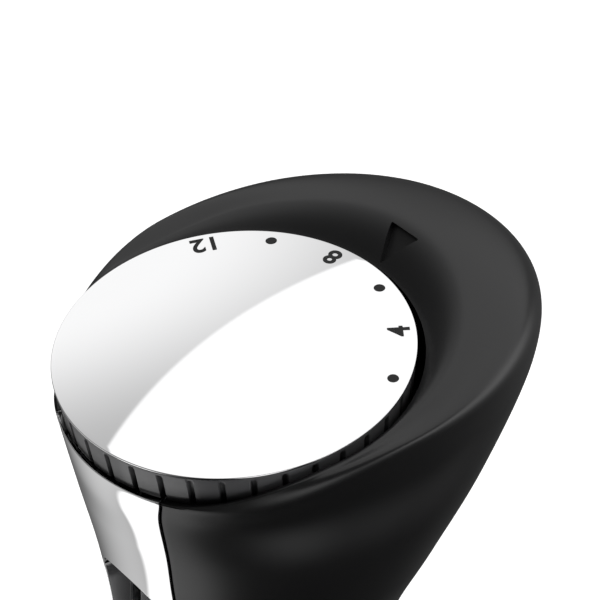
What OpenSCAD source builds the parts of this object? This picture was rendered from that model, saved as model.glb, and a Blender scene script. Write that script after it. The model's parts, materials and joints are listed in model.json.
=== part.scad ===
// Twelve-speed hand blender: a dial-topped motor handle and a plug-in blending foot.
// Z is up, the front (buttons, bright panel) faces -Y, and the shaft axis is the Z axis.

/* [Dial] */
// Radius of the speed dial
dial_r = 25; // [24.5:0.5:25.5]
// Height of the dial's face above the table
dial_z = 395; // [393:1:397]
// Distance from the shaft axis forward to the dial's centre
dial_forward = 10; // [9:0.5:11]
// Slope of the dial's face, down towards the front, in degrees
dial_tilt = 5.6; // [5:0.2:6.2]
// Turn of the pointer from straight back towards the left, in degrees
pointer_turn = 5; // [0:1:8]
// Number of finger notches round the dial's skirt
skirt_notches = 36; // [24:2:40]
// Depth of the notched skirt below the dial's face
skirt_depth = 5.9; // [5.4:0.1:5.9]

/* [Shell] */
// Wall of the soft-touch shell and the front panel
wall = 2.2; // [1.8:0.1:2.4]
// Width of the line between the shell and the front panel, in degrees round the handle
seam_gap = 0.7; // [0.4:0.1:1]
// Height of the handle's lower edge
grip_base = 175; // [174:0.5:176]

/* [Buttons] */
// Half width of the button pocket
pocket_half = 8.6; // [8:0.1:8.8]
// Height of the middle of the pocket's upper arch
pocket_top = 357; // [355:0.5:358]
// Height of the middle of the pocket's lower arch
pocket_bottom = 308; // [306:0.5:310]
// How far a button travels when it is pressed
button_travel = 1.8; // [1:0.1:2]
// How far a release button travels when it is pressed
release_travel = 2; // [1:0.1:2]

/* [Motor] */
// Radius of the motor shaft
shaft_r = 3; // [2.5:0.1:3.2]
// Outer radius of the stator
stator_r = 22; // [20:0.5:22.5]
// Outer radius of the armature
armature_r = 12.8; // [11:0.1:12.9]
// Radial clearance of a shaft that turns in a bearing
running_gap = 0.05; // [0.02:0.01:0.08]

/* [Foot] */
// Radius of the bell's rim, which the blender stands on
bell_r = 36; // [35.5:0.1:36.4]
// Outer radius of the steel tube
tube_r = 14; // [13.5:0.1:15]
// Thickness of the steel of the tube and the bell
steel = 1.4; // [1.2:0.1:1.6]
// Radius of the drive shaft
drive_r = 2.5; // [2.2:0.1:2.8]
// Number of flow windows in the bell's rim
windows = 4; // [3:1:6]

/* [Blade] */
// Radius that the blade sweeps
blade_r = 23; // [20:0.5:25]
// Thickness of the blade
blade_t = 1.2; // [1:0.1:1.5]

/* [Hidden] */

$fn = 72;
slack = 0.3;              // clearance between pieces that move past each other
dial_y = -dial_forward;
cap_t = 0.5;              // thickness of the steel cap on the dial
plate_h = -9.5;           // top of the dial plate below the dial's face
plate_r = 21.4;           // the plate clears the shell's narrowest place
dome_r = 250;             // the cap's face is part of a ball of this radius
spindle_r = 3;
collar_base = 170;        // lower face of the handle, where the foot meets it
neck_r = 17;              // foot's neck, inside the handle's socket
neck_top = 182;
socket_r = neck_r + 0.4;
screw_y = 21.6;           // the collar's screws stand this far from the shaft axis
button_face = -21.5;      // front of the buttons
button_back = -18.9;      // back of the buttons
plunger = 0.4;            // how far a button's plunger stands out behind it
switch_gap = 0.5;         // left between a pressed button's plunger and its switch
release_z = 193;          // height of the release buttons
release_stop = 19.6;      // a pressed release button's stem reaches in to here
board_y = -13;            // front of the circuit board
cord_tilt = 30;           // the cord leaves backwards and down
cord_y = 23;
cord_z = 365.5;
cord_bore_r = 3.5;
stack_low = 216;          // the stator's and armature's sheets, from here
stack_high = 243;         // to here
comm_low = 253;           // the commutator, from here
comm_high = 263;          // to here
fan_low = 189;            // the fan's disc stands on this
fan_high = 197;           // top of the fan's vanes
bell_top = 60;            // the tube meets the bell here
foot_top = 150;           // the tube ends here, in the collar
blade_z = 17;             // underside of the blade's hub
steps_up = 2;             // facets between two sections of the shell
steps_round = 58;

// Sections of the grip: height, half width, front, back, seam angle.
grip_sections = [
    [grip_base, 25.5, -25.5, 25.5, 26.5],
    [205, 27, -27, 27, 25],
    [235, 27.5, -27.5, 27.5, 24.5],
    [268, 25.5, -27.5, 24.5, 26.5],
    [295, 21, -27, 17, 31.5],
    [318, 17.2, -27, 10.5, 38.5]];
// Sections of the neck, in dial radii from the dial's centre, with the same five values.
neck_sections = [
    [-2.4, 0.653, -0.69, 0.796, 39],
    [-1.8, 0.725, -0.688, 0.989, 34],
    [-1.3, 0.897, -0.75, 1.25, 25],
    [-0.8, 1.048, -0.864, 1.545, 24.5]];

function lerp(a, b, k) = a + (b - a) * k;
function smooth(x) = let (c = max(0, min(1, x))) c * c * (3 - 2 * c);
function from_front(t) = abs(t > 180 ? t - 360 : t);
function oval(half, front, back, t) = [half * sin(t), (front + back) / 2 - (back - front) / 2 * cos(t)];

// A point given on the dial's tilted plane and at height h over it, in the blender's own frame.
function on_dial(p, h) = [p[0],
    dial_y + p[1] * cos(dial_tilt) - h * sin(dial_tilt),
    dial_z + p[1] * sin(dial_tilt) + h * cos(dial_tilt)];

// Sections of the handle from the grip's lower edge to the neck's top, all in millimetres.
handle_sections = concat(grip_sections,
    [for (s = neck_sections) [dial_z + s[0] * dial_r, s[1] * dial_r,
        dial_y + s[2] * dial_r, dial_y + s[3] * dial_r, s[4]]]);
head_seam = 24.5;
seam_angles = concat([for (s = handle_sections) s[4]], [for (i = [1:4]) head_seam]);

// The head's sections lie on the dial's plane: widest, shoulder, crease and lip.
function widest(t, w) = on_dial(oval(1.092 * dial_r - w, -0.987 * dial_r + w, 1.825 * dial_r - w, t),
    -0.417 * dial_r);
function shoulder(t, w) = on_dial(oval(1.186 * dial_r - w, -0.993 * dial_r + w, 1.762 * dial_r - w, t),
    lerp(-0.044, -0.25, smooth((90 - from_front(t)) / 50)) * dial_r - 0.7 * w);
function lip_height(t) = lerp(-0.25, -0.05, smooth((from_front(t) - 24) / 60)) * dial_r;
function lip(t, w) = on_dial(oval(1.035 * dial_r, -0.96 * dial_r, 1.036 * dial_r, t), lip_height(t) - w);
function crease(t, w) =
    let (k = smooth((from_front(t) - 70) / 50),
         low = oval(1.075 * dial_r, -0.97 * dial_r, 1.07 * dial_r, t),
         high = oval(1.06 * dial_r, -0.93 * dial_r, 1.33 * dial_r, t),
         rise = lerp(-0.03, 0.09, smooth((from_front(t) - 80) / 100)) * dial_r)
    on_dial(lerp(low, high, k), lerp(lip_height(t), rise, k) - w);

// All the sections' points at one angle, from the lower edge up and over to the dial's lip.
function knots(t, w) = concat(
    [for (s = handle_sections) let (p = oval(s[1] - w, s[2] + w, s[3] - w, t)) [p[0], p[1], s[0]]],
    [widest(t, w), shoulder(t, w), crease(t, w), lip(t, w)]);

// Smooth curve through a list of points, at position u counted in points.
function curve(p, u) =
    let (n = len(p) - 1, i = min(floor(u), n - 1), k = u - i,
         a = p[max(i - 1, 0)], b = p[i], c = p[i + 1], d = p[min(i + 2, n)])
    b + 0.5 * k * (c - a + k * (2 * a - 5 * b + 4 * c - d + k * (3 * (b - c) + d - a)));

function skin_point(t, u, w) = curve(knots(t, w), u);
function seam_at(u) = curve(seam_angles, u);

// One sheet of the casing between the angles start(u) and stop(u), as a closed wall.
module sheet(side, columns) {
    rows = (len(handle_sections) + 3) * steps_up;
    function angle(i, j) =
        let (seam = seam_at(i / steps_up))
        side == "rear"
            ? lerp(seam + seam_gap / 2, 360 - seam - seam_gap / 2, j / columns)
            : lerp(-seam + seam_gap / 2, seam - seam_gap / 2, j / columns);
    function at(i, j) = i * (columns + 1) + j;
    layer = (rows + 1) * (columns + 1);
    outer = [for (i = [0:rows]) for (j = [0:columns]) skin_point(angle(i, j), i / steps_up, 0)];
    inner = [for (i = [0:rows]) for (j = [0:columns]) skin_point(angle(i, j), i / steps_up, wall)];
    quads = concat(
        [for (i = [0:rows - 1]) for (j = [0:columns - 1])
            [at(i, j), at(i + 1, j), at(i + 1, j + 1), at(i, j + 1)]],
        [for (i = [0:rows - 1]) for (j = [0:columns - 1])
            [layer + at(i, j), layer + at(i, j + 1), layer + at(i + 1, j + 1), layer + at(i + 1, j)]],
        [for (j = [0:columns - 1]) [at(0, j), at(0, j + 1), layer + at(0, j + 1), layer + at(0, j)]],
        [for (j = [0:columns - 1])
            [at(rows, j + 1), at(rows, j), layer + at(rows, j), layer + at(rows, j + 1)]],
        [for (i = [0:rows - 1]) [at(i + 1, 0), at(i, 0), layer + at(i, 0), layer + at(i + 1, 0)]],
        [for (i = [0:rows - 1])
            [at(i, columns), at(i + 1, columns), layer + at(i + 1, columns), layer + at(i, columns)]]);
    polyhedron(concat(outer, inner), [for (q = quads) each [[q[0], q[1], q[2]], [q[0], q[2], q[3]]]]);
}

module tube(outer, inner, low, high) {
    translate([0, 0, low]) difference() {
        cylinder(r = outer, h = high - low);
        translate([0, 0, -1]) cylinder(r = inner, h = high - low + 2);
    }
}

// A box given by its lowest and highest corners.
module block(low, high) {
    translate(low) cube(high - low);
}

// Puts children, drawn round the Z axis, on the dial's tilted axis with the dial's face at zero.
module at_dial() {
    translate([0, dial_y, dial_z]) rotate([dial_tilt, 0, 0]) children();
}

// Puts children, drawn round the Z axis, on the cord's axis with the casing's skin at zero.
module at_cord() {
    translate([0, cord_y, cord_z]) rotate([-90 - cord_tilt, 0, 0]) children();
}

// A slot with round ends in the XZ plane, from one front depth to another.
module pocket_slot(half, low, high, front, back) {
    translate([0, back, 0]) rotate([90, 0, 0]) linear_extrude(back - front) {
        translate([0, high]) circle(half);
        translate([0, low]) circle(half);
        translate([-half, low]) square([2 * half, high - low]);
    }
}

module pointer_notch() {
    inner = 1.06 * dial_r;
    outer = 1.25 * dial_r;
    half = 0.1 * dial_r;
    at_dial() rotate([0, 0, pointer_turn]) translate([0, 0, 0.25])
        linear_extrude(6) polygon([[0, inner], [half, outer], [-half, outer]]);
}

module release_window(side) {
    translate([side * 20, 0, release_z]) rotate([0, side * 90, 0]) cylinder(r = 6.4, h = 12);
}

module rear_shell() {
    color([0.13, 0.13, 0.13]) difference() {
        sheet("rear", steps_round);
        pointer_notch();
        at_cord() translate([0, 0, -12]) cylinder(r = 5.6, h = 24);
        release_window(1);
        release_window(-1);
    }
}

module front_panel() {
    color([0.8, 0.8, 0.82]) difference() {
        sheet("front", 10);
        pocket_slot(pocket_half, pocket_bottom, pocket_top, -40, -20);
    }
}

module button_bezel() {
    color([0.75, 0.75, 0.77]) difference() {
        pocket_slot(pocket_half - 0.05, pocket_bottom, pocket_top, -24.2, -17.6);
        pocket_slot(pocket_half - 0.9, pocket_bottom, pocket_top, -41, -10);
    }
}

module dial_plate() {
    color([0.2, 0.2, 0.2]) at_dial() difference() {
        union() {
            translate([0, 0, plate_h - 2]) cylinder(r = plate_r, h = 2);
            translate([0, 0, plate_h - 5]) cylinder(r = 6, h = 5);
        }
        translate([0, 0, plate_h - 6]) cylinder(r = spindle_r + running_gap, h = 8);
        rotate([0, 0, 90]) translate([12, 0, plate_h - 1.6]) cylinder(r = 1.7, h = 3);
    }
}

module chassis() {
    color([0.25, 0.25, 0.25]) {
        block([-7, 1, 300], [7, 2.5, 384]);
        for (side = [-1, 1]) block([side * 6.25 - 0.75, -11.4, 300], [side * 6.25 + 0.75, 1, 303]);
        block([-9, -1, 296], [9, 6, 300]);
    }
}

module dial_skirt() {
    top = -cap_t;
    color([0.35, 0.35, 0.36]) at_dial() difference() {
        rotate_extrude() polygon([[spindle_r, top], [dial_r - 0.2, top], [dial_r - 0.85, -skirt_depth],
            [dial_r - 3, -skirt_depth], [dial_r - 3, top - 2.5], [14, top - 2.5], [14, plate_h + 2],
            [8, plate_h + 2], [8, plate_h + 0.6], [spindle_r, plate_h + 0.6]]);
        for (i = [0:skirt_notches - 1]) rotate([0, 0, i * 360 / skirt_notches])
            translate([dial_r - 1.6, -0.35, -skirt_depth - 1]) cube([3, 0.7, skirt_depth - 0.25]);
    }
}

module dial_cap() {
    function rise(r) = (dial_r * dial_r - r * r) / (2 * dome_r);
    color([0.85, 0.85, 0.87]) at_dial() rotate_extrude() polygon(concat(
        [[0, -cap_t], [dial_r, -cap_t]], [for (k = [10:-1:0]) [dial_r * k / 10, rise(dial_r * k / 10)]]));
}

module dial_spindle() {
    color([0.7, 0.7, 0.7]) at_dial() translate([0, 0, plate_h - 9]) cylinder(r = spindle_r, h = 17);
}

module dial_circlip() {
    color([0.5, 0.5, 0.5]) at_dial() translate([0, 0, plate_h - 5.9]) difference() {
        tube(4.6, spindle_r, 0, 0.8);
        block([2, -0.8, -1], [6, 0.8, 2]);
    }
}

module detent_ball() {
    color([0.8, 0.8, 0.8]) at_dial() rotate([0, 0, 90]) translate([12, 0, plate_h + 0.4]) sphere(r = 1.2);
}

module detent_spring() {
    color([0.7, 0.7, 0.7]) at_dial() rotate([0, 0, 90]) translate([12, 0, 0])
        tube(1.5, 0.9, plate_h - 1.6, plate_h - 0.8);
}

module speed_potentiometer() {
    color([0.2, 0.35, 0.5]) at_dial() difference() {
        translate([0, 0, plate_h - 12.5]) cylinder(r = 8, h = 6);
        translate([0, 0, plate_h - 9.4]) cylinder(r = spindle_r + running_gap, h = 6);
    }
}

// One push button: the face with a curved end, and the plunger behind it.
module push_button(low, high, low_round, high_round, plunger_z) {
    half = pocket_half - 0.9 - slack;
    translate([0, button_back, 0]) rotate([90, 0, 0])
        linear_extrude(button_back - button_face) intersection() {
        union() {
            translate([0, high_round]) circle(half);
            translate([0, low_round]) circle(half);
            translate([-half, low_round]) square([2 * half, high_round - low_round]);
        }
        translate([-half, low]) square([2 * half, high - low]);
    }
    translate([0, button_back, plunger_z]) rotate([-90, 0, 0]) cylinder(r = 2, h = plunger);
}

module start_button() {
    color([0.62, 0.62, 0.63])
        push_button(333, pocket_top + pocket_half, pocket_bottom, pocket_top, 347);
}

module turbo_button() {
    color([0.5, 0.5, 0.52])
        push_button(pocket_bottom - pocket_half, 332.4, pocket_bottom, pocket_top, 318);
}

// Silicone sheet behind the buttons, with a hole for each plunger.
module button_seal() {
    color([0.15, 0.15, 0.15]) difference() {
        pocket_slot(pocket_half - 1.2, pocket_bottom, pocket_top, -16.3, -15.9);
        for (z = [318, 347]) translate([0, -10, z]) rotate([90, 0, 0]) cylinder(r = 3, h = 12);
    }
}

// The switch's tip is where a pressed button's plunger nearly meets it.
module tact_switch(z) {
    tip = button_back + plunger + button_travel + switch_gap;
    color([0.15, 0.15, 0.15]) {
        block([-2.8, tip + 0.8, z - 2.8], [2.8, board_y, z + 2.8]);
        translate([0, tip + 0.8, z]) rotate([90, 0, 0]) cylinder(r = 1.6, h = 0.8);
    }
}

module circuit_board() {
    color([0.1, 0.4, 0.2]) block([-7.5, board_y, 303], [7.5, board_y + 1.5, 368]);
}

module capacitor() {
    color([0.2, 0.3, 0.6]) translate([0, -5.6, 350]) cylinder(r = 5, h = 18);
}

module triac() {
    color([0.1, 0.1, 0.1]) block([-5, board_y + 1.5, 326], [5, -8.5, 341]);
}

module heat_sink() {
    color([0.7, 0.7, 0.72]) {
        block([-6, -8.5, 322], [6, -7, 345]);
        for (x = [-5.5, -2.75, 0, 2.75]) block([x, -7, 322], [x + 1.2, -2, 345]);
    }
}

module terminal_block() {
    color([0.8, 0.8, 0.75]) difference() {
        block([-7, board_y + 1.6, 304], [7, -3, 315]);
        for (x = [-4.5, 0, 4.5]) translate([x, -7, 303]) cylinder(r = 1.4, h = 6);
    }
}

module stator_core() {
    color([0.55, 0.55, 0.57]) difference() {
        translate([0, 0, stack_low]) cylinder(r = stator_r, h = stack_high - stack_low);
        translate([0, 0, stack_low - 1]) cylinder(r = armature_r + 0.6, h = stack_high - stack_low + 2);
        for (a = [0, 180]) rotate([0, 0, a])
            block([-9, armature_r + 2, stack_low - 1], [9, armature_r + 5.5, stack_high + 1]);
    }
}

module field_coils() {
    color([0.72, 0.4, 0.2]) for (a = [0, 180]) rotate([0, 0, a]) {
        block([-8.6, armature_r + 2.3, stack_low - 5], [8.6, armature_r + 5.2, stack_high + 5]);
    }
}

module armature_core() {
    color([0.5, 0.5, 0.5]) difference() {
        tube(armature_r, shaft_r, stack_low, stack_high);
        for (a = [0:30:330]) rotate([0, 0, a])
            block([armature_r - 4, -0.9, stack_low - 1], [armature_r + 1, 0.9, stack_high + 1]);
    }
}

module armature_winding() {
    color([0.75, 0.42, 0.2]) {
        tube(10.5, shaft_r, stack_high, stack_high + 7);
        tube(10.5, shaft_r, stack_low - 7, stack_low);
    }
}

module commutator() {
    color([0.75, 0.45, 0.25]) difference() {
        tube(9, shaft_r, comm_low, comm_high);
        for (a = [0:15:345]) rotate([0, 0, a]) block([8, -0.2, comm_low - 1], [10, 0.2, comm_high - 1]);
    }
}

module motor_shaft() {
    color([0.75, 0.75, 0.77]) translate([0, 0, 174]) cylinder(r = shaft_r, h = 103);
}

module cooling_fan() {
    color([0.2, 0.2, 0.2]) {
        tube(19, shaft_r, fan_low, fan_low + 1.5);
        tube(6, shaft_r, fan_low + 1.5, fan_high);
        for (a = [0:40:320]) rotate([0, 0, a])
            block([5.5, -0.6, fan_low + 1.5], [18.5, 0.6, fan_high]);
    }
}

module brush_holders() {
    color([0.2, 0.2, 0.2]) for (side = [-1, 1]) {
        difference() {
            block([side * 16 - 5, -4, comm_low], [side * 16 + 5, 4, 271]);
            block([side * 16 - 6, -2.6, 254.5], [side * 16 + 6, 2.6, 261.5]);
        }
    }
}

module carbon_brushes() {
    color([0.12, 0.12, 0.12]) for (side = [-1, 1]) difference() {
        block([side * 13.5 - 5, -2.5, 254.6], [side * 13.5 + 5, 2.5, 261.4]);
        translate([0, 0, 253]) cylinder(r = 9.2, h = 10);
    }
}

module upper_bearing() {
    color([0.75, 0.75, 0.77]) tube(8, shaft_r + running_gap, 268, 274);
}

module lower_bearing() {
    color([0.75, 0.75, 0.77]) tube(8, shaft_r + running_gap, 203, 208);
}

module upper_bracket() {
    color([0.3, 0.3, 0.3]) difference() {
        union() {
            translate([0, 0, 271]) cylinder(r = 19, h = 2);
            translate([0, 0, 266.5]) cylinder(r = 10, h = 7.5);
        }
        translate([0, 0, 260]) cylinder(r = 8, h = 20);
        for (a = [30:60:330]) rotate([0, 0, a]) translate([14.5, 0, 260]) cylinder(r = 2.8, h = 20);
    }
}

module lower_bracket() {
    color([0.3, 0.3, 0.3]) difference() {
        union() {
            translate([0, 0, 201]) cylinder(r = 22.5, h = 2.5);
            translate([0, 0, 201]) cylinder(r = 10, h = 6.5);
        }
        translate([0, 0, 203]) cylinder(r = 8, h = 10);
        translate([0, 0, 200]) cylinder(r = 5, h = 10);
        for (a = [30:60:330]) rotate([0, 0, a]) translate([16, 0, 200]) cylinder(r = 3.4, h = 10);
    }
}

// Rubber ring that holds the stator's lower end away from the casing.
module motor_mount_ring() {
    color([0.12, 0.12, 0.12]) tube(24.6, stator_r, 217, 221);
}

module drive_coupling() {
    color([0.85, 0.85, 0.85]) difference() {
        union() {
            translate([0, 0, 171]) cylinder(r = 5.5, h = 13, $fn = 6);
            translate([0, 0, 184]) cylinder(r = 5.5, h = 3);
        }
        translate([0, 0, 174]) cylinder(r = shaft_r, h = 20);
    }
}

module coupling_collar() {
    color([0.75, 0.75, 0.77]) difference() {
        union() {
            translate([0, 0, collar_base]) cylinder(r = 25.5, h = 4.8);
            translate([0, 0, collar_base]) cylinder(r = 19.4, h = 17);
        }
        translate([0, 0, collar_base - 1]) cylinder(r = socket_r, h = 15);
        translate([0, 0, collar_base - 1]) cylinder(r = 7, h = 20);
        translate([0, 0, 177]) cylinder(r = 18.5, h = 1.4);
        for (y = [-screw_y, screw_y]) translate([0, y, collar_base - 1]) {
            cylinder(r = 1.5, h = 10);
            cylinder(r = 2.7, h = 3);
        }
    }
}

// Sprung ring that snaps into the groove of the foot's neck.
module latch_ring() {
    color([0.8, 0.8, 0.8]) difference() {
        tube(18.4, 17.5, 177.1, 178.3);
        block([-3, 15, 176], [3, 20, 180]);
    }
}

// A release button: a round push face with a shallow finger dish, and a stem.
module release_button(side) {
    color([0.3, 0.3, 0.3]) rotate([0, side * 90, 0]) translate([-release_z * side, 0, 0]) difference() {
        union() {
            translate([0, 0, 22.5]) cylinder(r = 6, h = 4.6);
            translate([0, 0, release_stop + release_travel]) cylinder(r = 3, h = 1);
        }
        translate([0, 0, 27.1 + 17]) sphere(r = 17.6);
    }
}

module cord_gland() {
    color([0.1, 0.1, 0.1]) at_cord() difference() {
        union() {
            translate([0, 0, -9]) cylinder(r = 5.5, h = 10);
            translate([0, 0, 0.9]) cylinder(r1 = 7.4, r2 = 5.4, h = 2.8);
        }
        translate([0, 0, -10]) cylinder(r = cord_bore_r, h = 20);
    }
}

module cable_clamp() {
    color([0.2, 0.2, 0.2]) at_cord() translate([0, 0, -14]) difference() {
        cylinder(r = 6, h = 4);
        translate([0, 0, -1]) cylinder(r = cord_bore_r + 0.4, h = 6);
    }
}

module collar_screws() {
    color([0.6, 0.6, 0.62]) for (y = [-screw_y, screw_y]) translate([0, y, 170.2]) {
        cylinder(r = 1.4, h = 7.5);
        cylinder(r = 2.5, h = 1.6);
    }
}

module foot_collar() {
    color([0.14, 0.14, 0.14]) rotate_extrude() polygon([
        [14.5, neck_top], [neck_r, neck_top], [neck_r, 178.6], [16.4, 178.4], [16.4, 177], [neck_r, 176.8],
        [neck_r, 169.7], [25.3, 169.7], [25.3, 161], [24.6, 155], [22.4, 147], [19.6, 140], [17.6, 134],
        [tube_r + 1.6, 128], [tube_r + 0.05, 128], [tube_r + 0.05, foot_top],
        [6, foot_top], [6, foot_top + 10], [14.5, foot_top + 10]]);
}

module foot_seal() {
    color([0.1, 0.1, 0.1]) tube(16.2, 14.9, neck_top, neck_top + 0.5);
}

module shaft_tube() {
    color([0.82, 0.82, 0.84]) tube(tube_r, tube_r - steel, bell_top, foot_top - 0.1);
}

// The bell: a flared steel guard with arched flow windows in its rim.
module bell_guard() {
    outer = [for (k = [0:12]) let (a = k * 7.5)
        [tube_r + (bell_r - tube_r) * (1 - cos(a)), bell_top - 38 * sin(a)]];
    inner = [for (p = outer) [p[0] - steel, p[1] + (p[0] > bell_r - 1 ? 0 : -steel)]];
    color([0.82, 0.82, 0.84]) difference() {
        rotate_extrude() polygon(concat(
            [[tube_r - steel, bell_top]], outer, [[bell_r, 0], [bell_r - steel, 0]],
            [for (i = [12:-1:1]) inner[i]], [[tube_r - steel, bell_top - steel]]));
        for (i = [0:windows - 1]) rotate([0, 0, i * 360 / windows]) {
            translate([25, 0, 4]) rotate([0, 90, 0]) cylinder(r = 7, h = 15);
            block([25, -7, -1], [40, 7, 4]);
        }
    }
}

module foot_coupler() {
    color([0.85, 0.85, 0.85]) difference() {
        translate([0, 0, 162]) cylinder(r = 9, h = 19);
        translate([0, 0, 170]) cylinder(r = 5.9, h = 12, $fn = 6);
        translate([0, 0, 161]) cylinder(r = drive_r, h = 8);
    }
}

module drive_shaft() {
    color([0.78, 0.78, 0.8]) translate([0, 0, 12]) cylinder(r = drive_r, h = 157);
}

module upper_bush() {
    color([0.75, 0.55, 0.3]) tube(6, drive_r + running_gap, foot_top, foot_top + 10);
}

module lower_bush_carrier() {
    color([0.12, 0.12, 0.12]) difference() {
        union() {
            translate([0, 0, 40]) cylinder(r = tube_r - steel, h = 24);
            translate([0, 0, 34]) cylinder(r = 10, h = 6);
        }
        translate([0, 0, 40]) cylinder(r = 5, h = 30);
        translate([0, 0, 30]) cylinder(r = 6, h = 8);
        translate([0, 0, 30]) cylinder(r = 3.4, h = 20);
    }
}

module lower_bush() {
    color([0.75, 0.55, 0.3]) tube(5, drive_r + running_gap, 40, 58);
}

module shaft_seal() {
    color([0.1, 0.1, 0.1]) tube(6, drive_r + 0.08, 34.5, 38);
}

// One wing of the blade: an arm that bends up or down outwards, with a ground edge.
module blade_wing(rise) {
    translate([0, 4, 0]) rotate([90, 0, 0]) linear_extrude(8)
        polygon([[2, 0], [9, 0], [blade_r - 1, rise], [blade_r, rise + blade_t],
            [blade_r - 2, rise + blade_t], [9, blade_t], [2, blade_t]]);
}

module blade() {
    color([0.85, 0.85, 0.87]) translate([0, 0, blade_z]) difference() {
        union() {
            cylinder(r = 8, h = blade_t);
            for (a = [0, 180]) rotate([0, 0, a]) blade_wing(5);
            for (a = [90, 270]) rotate([0, 0, a]) blade_wing(-5);
        }
        translate([0, 0, -1]) cylinder(r = drive_r, h = 4);
        for (a = [0:90:270]) rotate([0, 0, a]) translate([blade_r - 1, -9, -8])
            rotate([0, 0, 30]) block([0, 0, 0], [20, 20, 18]);
    }
}

module blade_nut() {
    color([0.8, 0.8, 0.82]) {
        difference() {
            translate([0, 0, blade_z - 4]) cylinder(r = 5, h = 4, $fn = 6);
            translate([0, 0, blade_z - 4.1]) cylinder(r = drive_r, h = 5);
        }
    }
}

rear_shell();
front_panel();
button_bezel();
dial_plate();
chassis();
dial_skirt();
dial_cap();
dial_spindle();
dial_circlip();
detent_ball();
detent_spring();
speed_potentiometer();
start_button();
turbo_button();
button_seal();
tact_switch(347);  // start_switch
tact_switch(318);  // turbo_switch
circuit_board();
capacitor();
triac();
heat_sink();
terminal_block();
stator_core();
field_coils();
armature_core();
armature_winding();
commutator();
motor_shaft();
cooling_fan();
brush_holders();
carbon_brushes();
upper_bearing();
lower_bearing();
upper_bracket();
lower_bracket();
motor_mount_ring();
drive_coupling();
coupling_collar();
latch_ring();
release_button(-1);  // release_button_left
release_button(1);  // release_button_right
cord_gland();
cable_clamp();
collar_screws();
foot_collar();
foot_seal();
shaft_tube();
bell_guard();
foot_coupler();
drive_shaft();
upper_bush();
lower_bush_carrier();
lower_bush();
shaft_seal();
blade();
blade_nut();
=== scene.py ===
"""Looks of a twelve-speed hand blender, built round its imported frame.

The outside is rebuilt as fine surfaces: a soft-touch casing with a polished front panel, a domed
speed dial over a notched thumb wheel, crowned push buttons in a pocket, and a steel blending foot.
Every shape is a function of two parameters worked out with numpy, in millimetres, and turned into
metres when its mesh is made.
"""

import json
import logging
import math
from dataclasses import dataclass
from enum import Enum
from typing import Callable, Optional, Sequence

import bmesh
import bpy
import numpy as np
from mathutils import Matrix, Vector


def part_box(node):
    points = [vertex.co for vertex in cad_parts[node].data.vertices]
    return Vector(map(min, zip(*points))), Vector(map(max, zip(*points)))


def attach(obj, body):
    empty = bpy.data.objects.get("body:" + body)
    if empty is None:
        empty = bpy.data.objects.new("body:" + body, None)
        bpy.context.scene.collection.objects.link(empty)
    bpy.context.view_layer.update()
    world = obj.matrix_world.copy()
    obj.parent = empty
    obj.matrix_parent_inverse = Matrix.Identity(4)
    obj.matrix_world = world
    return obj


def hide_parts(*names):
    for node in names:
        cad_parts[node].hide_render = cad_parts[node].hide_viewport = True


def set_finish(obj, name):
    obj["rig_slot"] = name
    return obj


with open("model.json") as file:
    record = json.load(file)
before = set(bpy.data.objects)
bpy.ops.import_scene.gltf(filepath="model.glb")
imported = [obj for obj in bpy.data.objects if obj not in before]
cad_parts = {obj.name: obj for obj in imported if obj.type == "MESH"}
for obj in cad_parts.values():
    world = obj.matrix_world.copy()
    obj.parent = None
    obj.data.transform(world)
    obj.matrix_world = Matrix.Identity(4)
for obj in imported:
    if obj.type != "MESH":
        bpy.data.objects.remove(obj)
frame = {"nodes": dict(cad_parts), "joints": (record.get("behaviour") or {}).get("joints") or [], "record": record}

LOG = logging.getLogger("hand_blender")
MM = 0.001
TURN = 2 * math.pi
SHARP_ANGLE = math.radians(38)
Array = np.ndarray


# ---------------------------------------------------------------------------------------------
# Small maths
# ---------------------------------------------------------------------------------------------

def smooth(x: Array | float) -> Array:
    """Returns x eased from 0 to 1 by the cubic 3x^2 - 2x^3, held level outside."""
    c = np.clip(x, 0.0, 1.0)
    return c * c * (3 - 2 * c)


def mix(a: Array | float, b: Array | float, k: Array | float) -> Array:
    """Returns the point a share k of the way from a to b."""
    return a + (b - a) * k


def unit(v: Array) -> Array:
    """Returns vectors of length one along the last axis."""
    return v / np.maximum(np.linalg.norm(v, axis=-1, keepdims=True), 1e-12)


def direction(azimuth: float, elevation: float) -> Array:
    """Returns the unit vector towards an azimuth and elevation.

    Args:
        azimuth: Degrees from the front, -Y, towards the right, +X.
        elevation: Degrees above the horizon.

    Returns:
        The vector x = sin a cos e, y = -cos a cos e, z = sin e.
    """
    a, e = math.radians(azimuth), math.radians(elevation)
    return np.array([math.sin(a) * math.cos(e), -math.cos(a) * math.cos(e), math.sin(e)])


def filleted(corners: Sequence[tuple[float, float, float]], closed: bool, steps: int = 5) -> Array:
    """Rounds the corners of a plane outline.

    Args:
        corners: Each corner's two coordinates and its fillet radius.
        closed: Whether the last corner joins the first.
        steps: Points along each fillet after its first.

    Returns:
        Points along the outline, where each corner is the circular arc tangent to both its sides.
    """
    count = len(corners)
    points: list[Array] = []
    for i, (x, y, radius) in enumerate(corners):
        here = np.array([x, y], float)
        if radius <= 0 or (not closed and i in (0, count - 1)):
            points.append(here)
            continue
        before = np.array(corners[i - 1][:2], float) - here
        after = np.array(corners[(i + 1) % count][:2], float) - here
        reach = min(np.linalg.norm(before), np.linalg.norm(after)) * 0.49
        before, after = unit(before), unit(after)
        half = math.acos(float(np.clip(before @ after, -1, 1))) / 2
        cut = min(radius / math.tan(half), reach)
        centre = here + unit(before + after) * cut / math.cos(half)
        start, stop = here + before * cut - centre, here + after * cut - centre
        sweep = math.atan2(start[0] * stop[1] - start[1] * stop[0], float(start @ stop))
        for angle in np.linspace(0, sweep, steps + 1):
            c, s = math.cos(angle), math.sin(angle)
            points.append(centre + np.array([c * start[0] - s * start[1], s * start[0] + c * start[1]]))
    return np.array(points)


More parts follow.
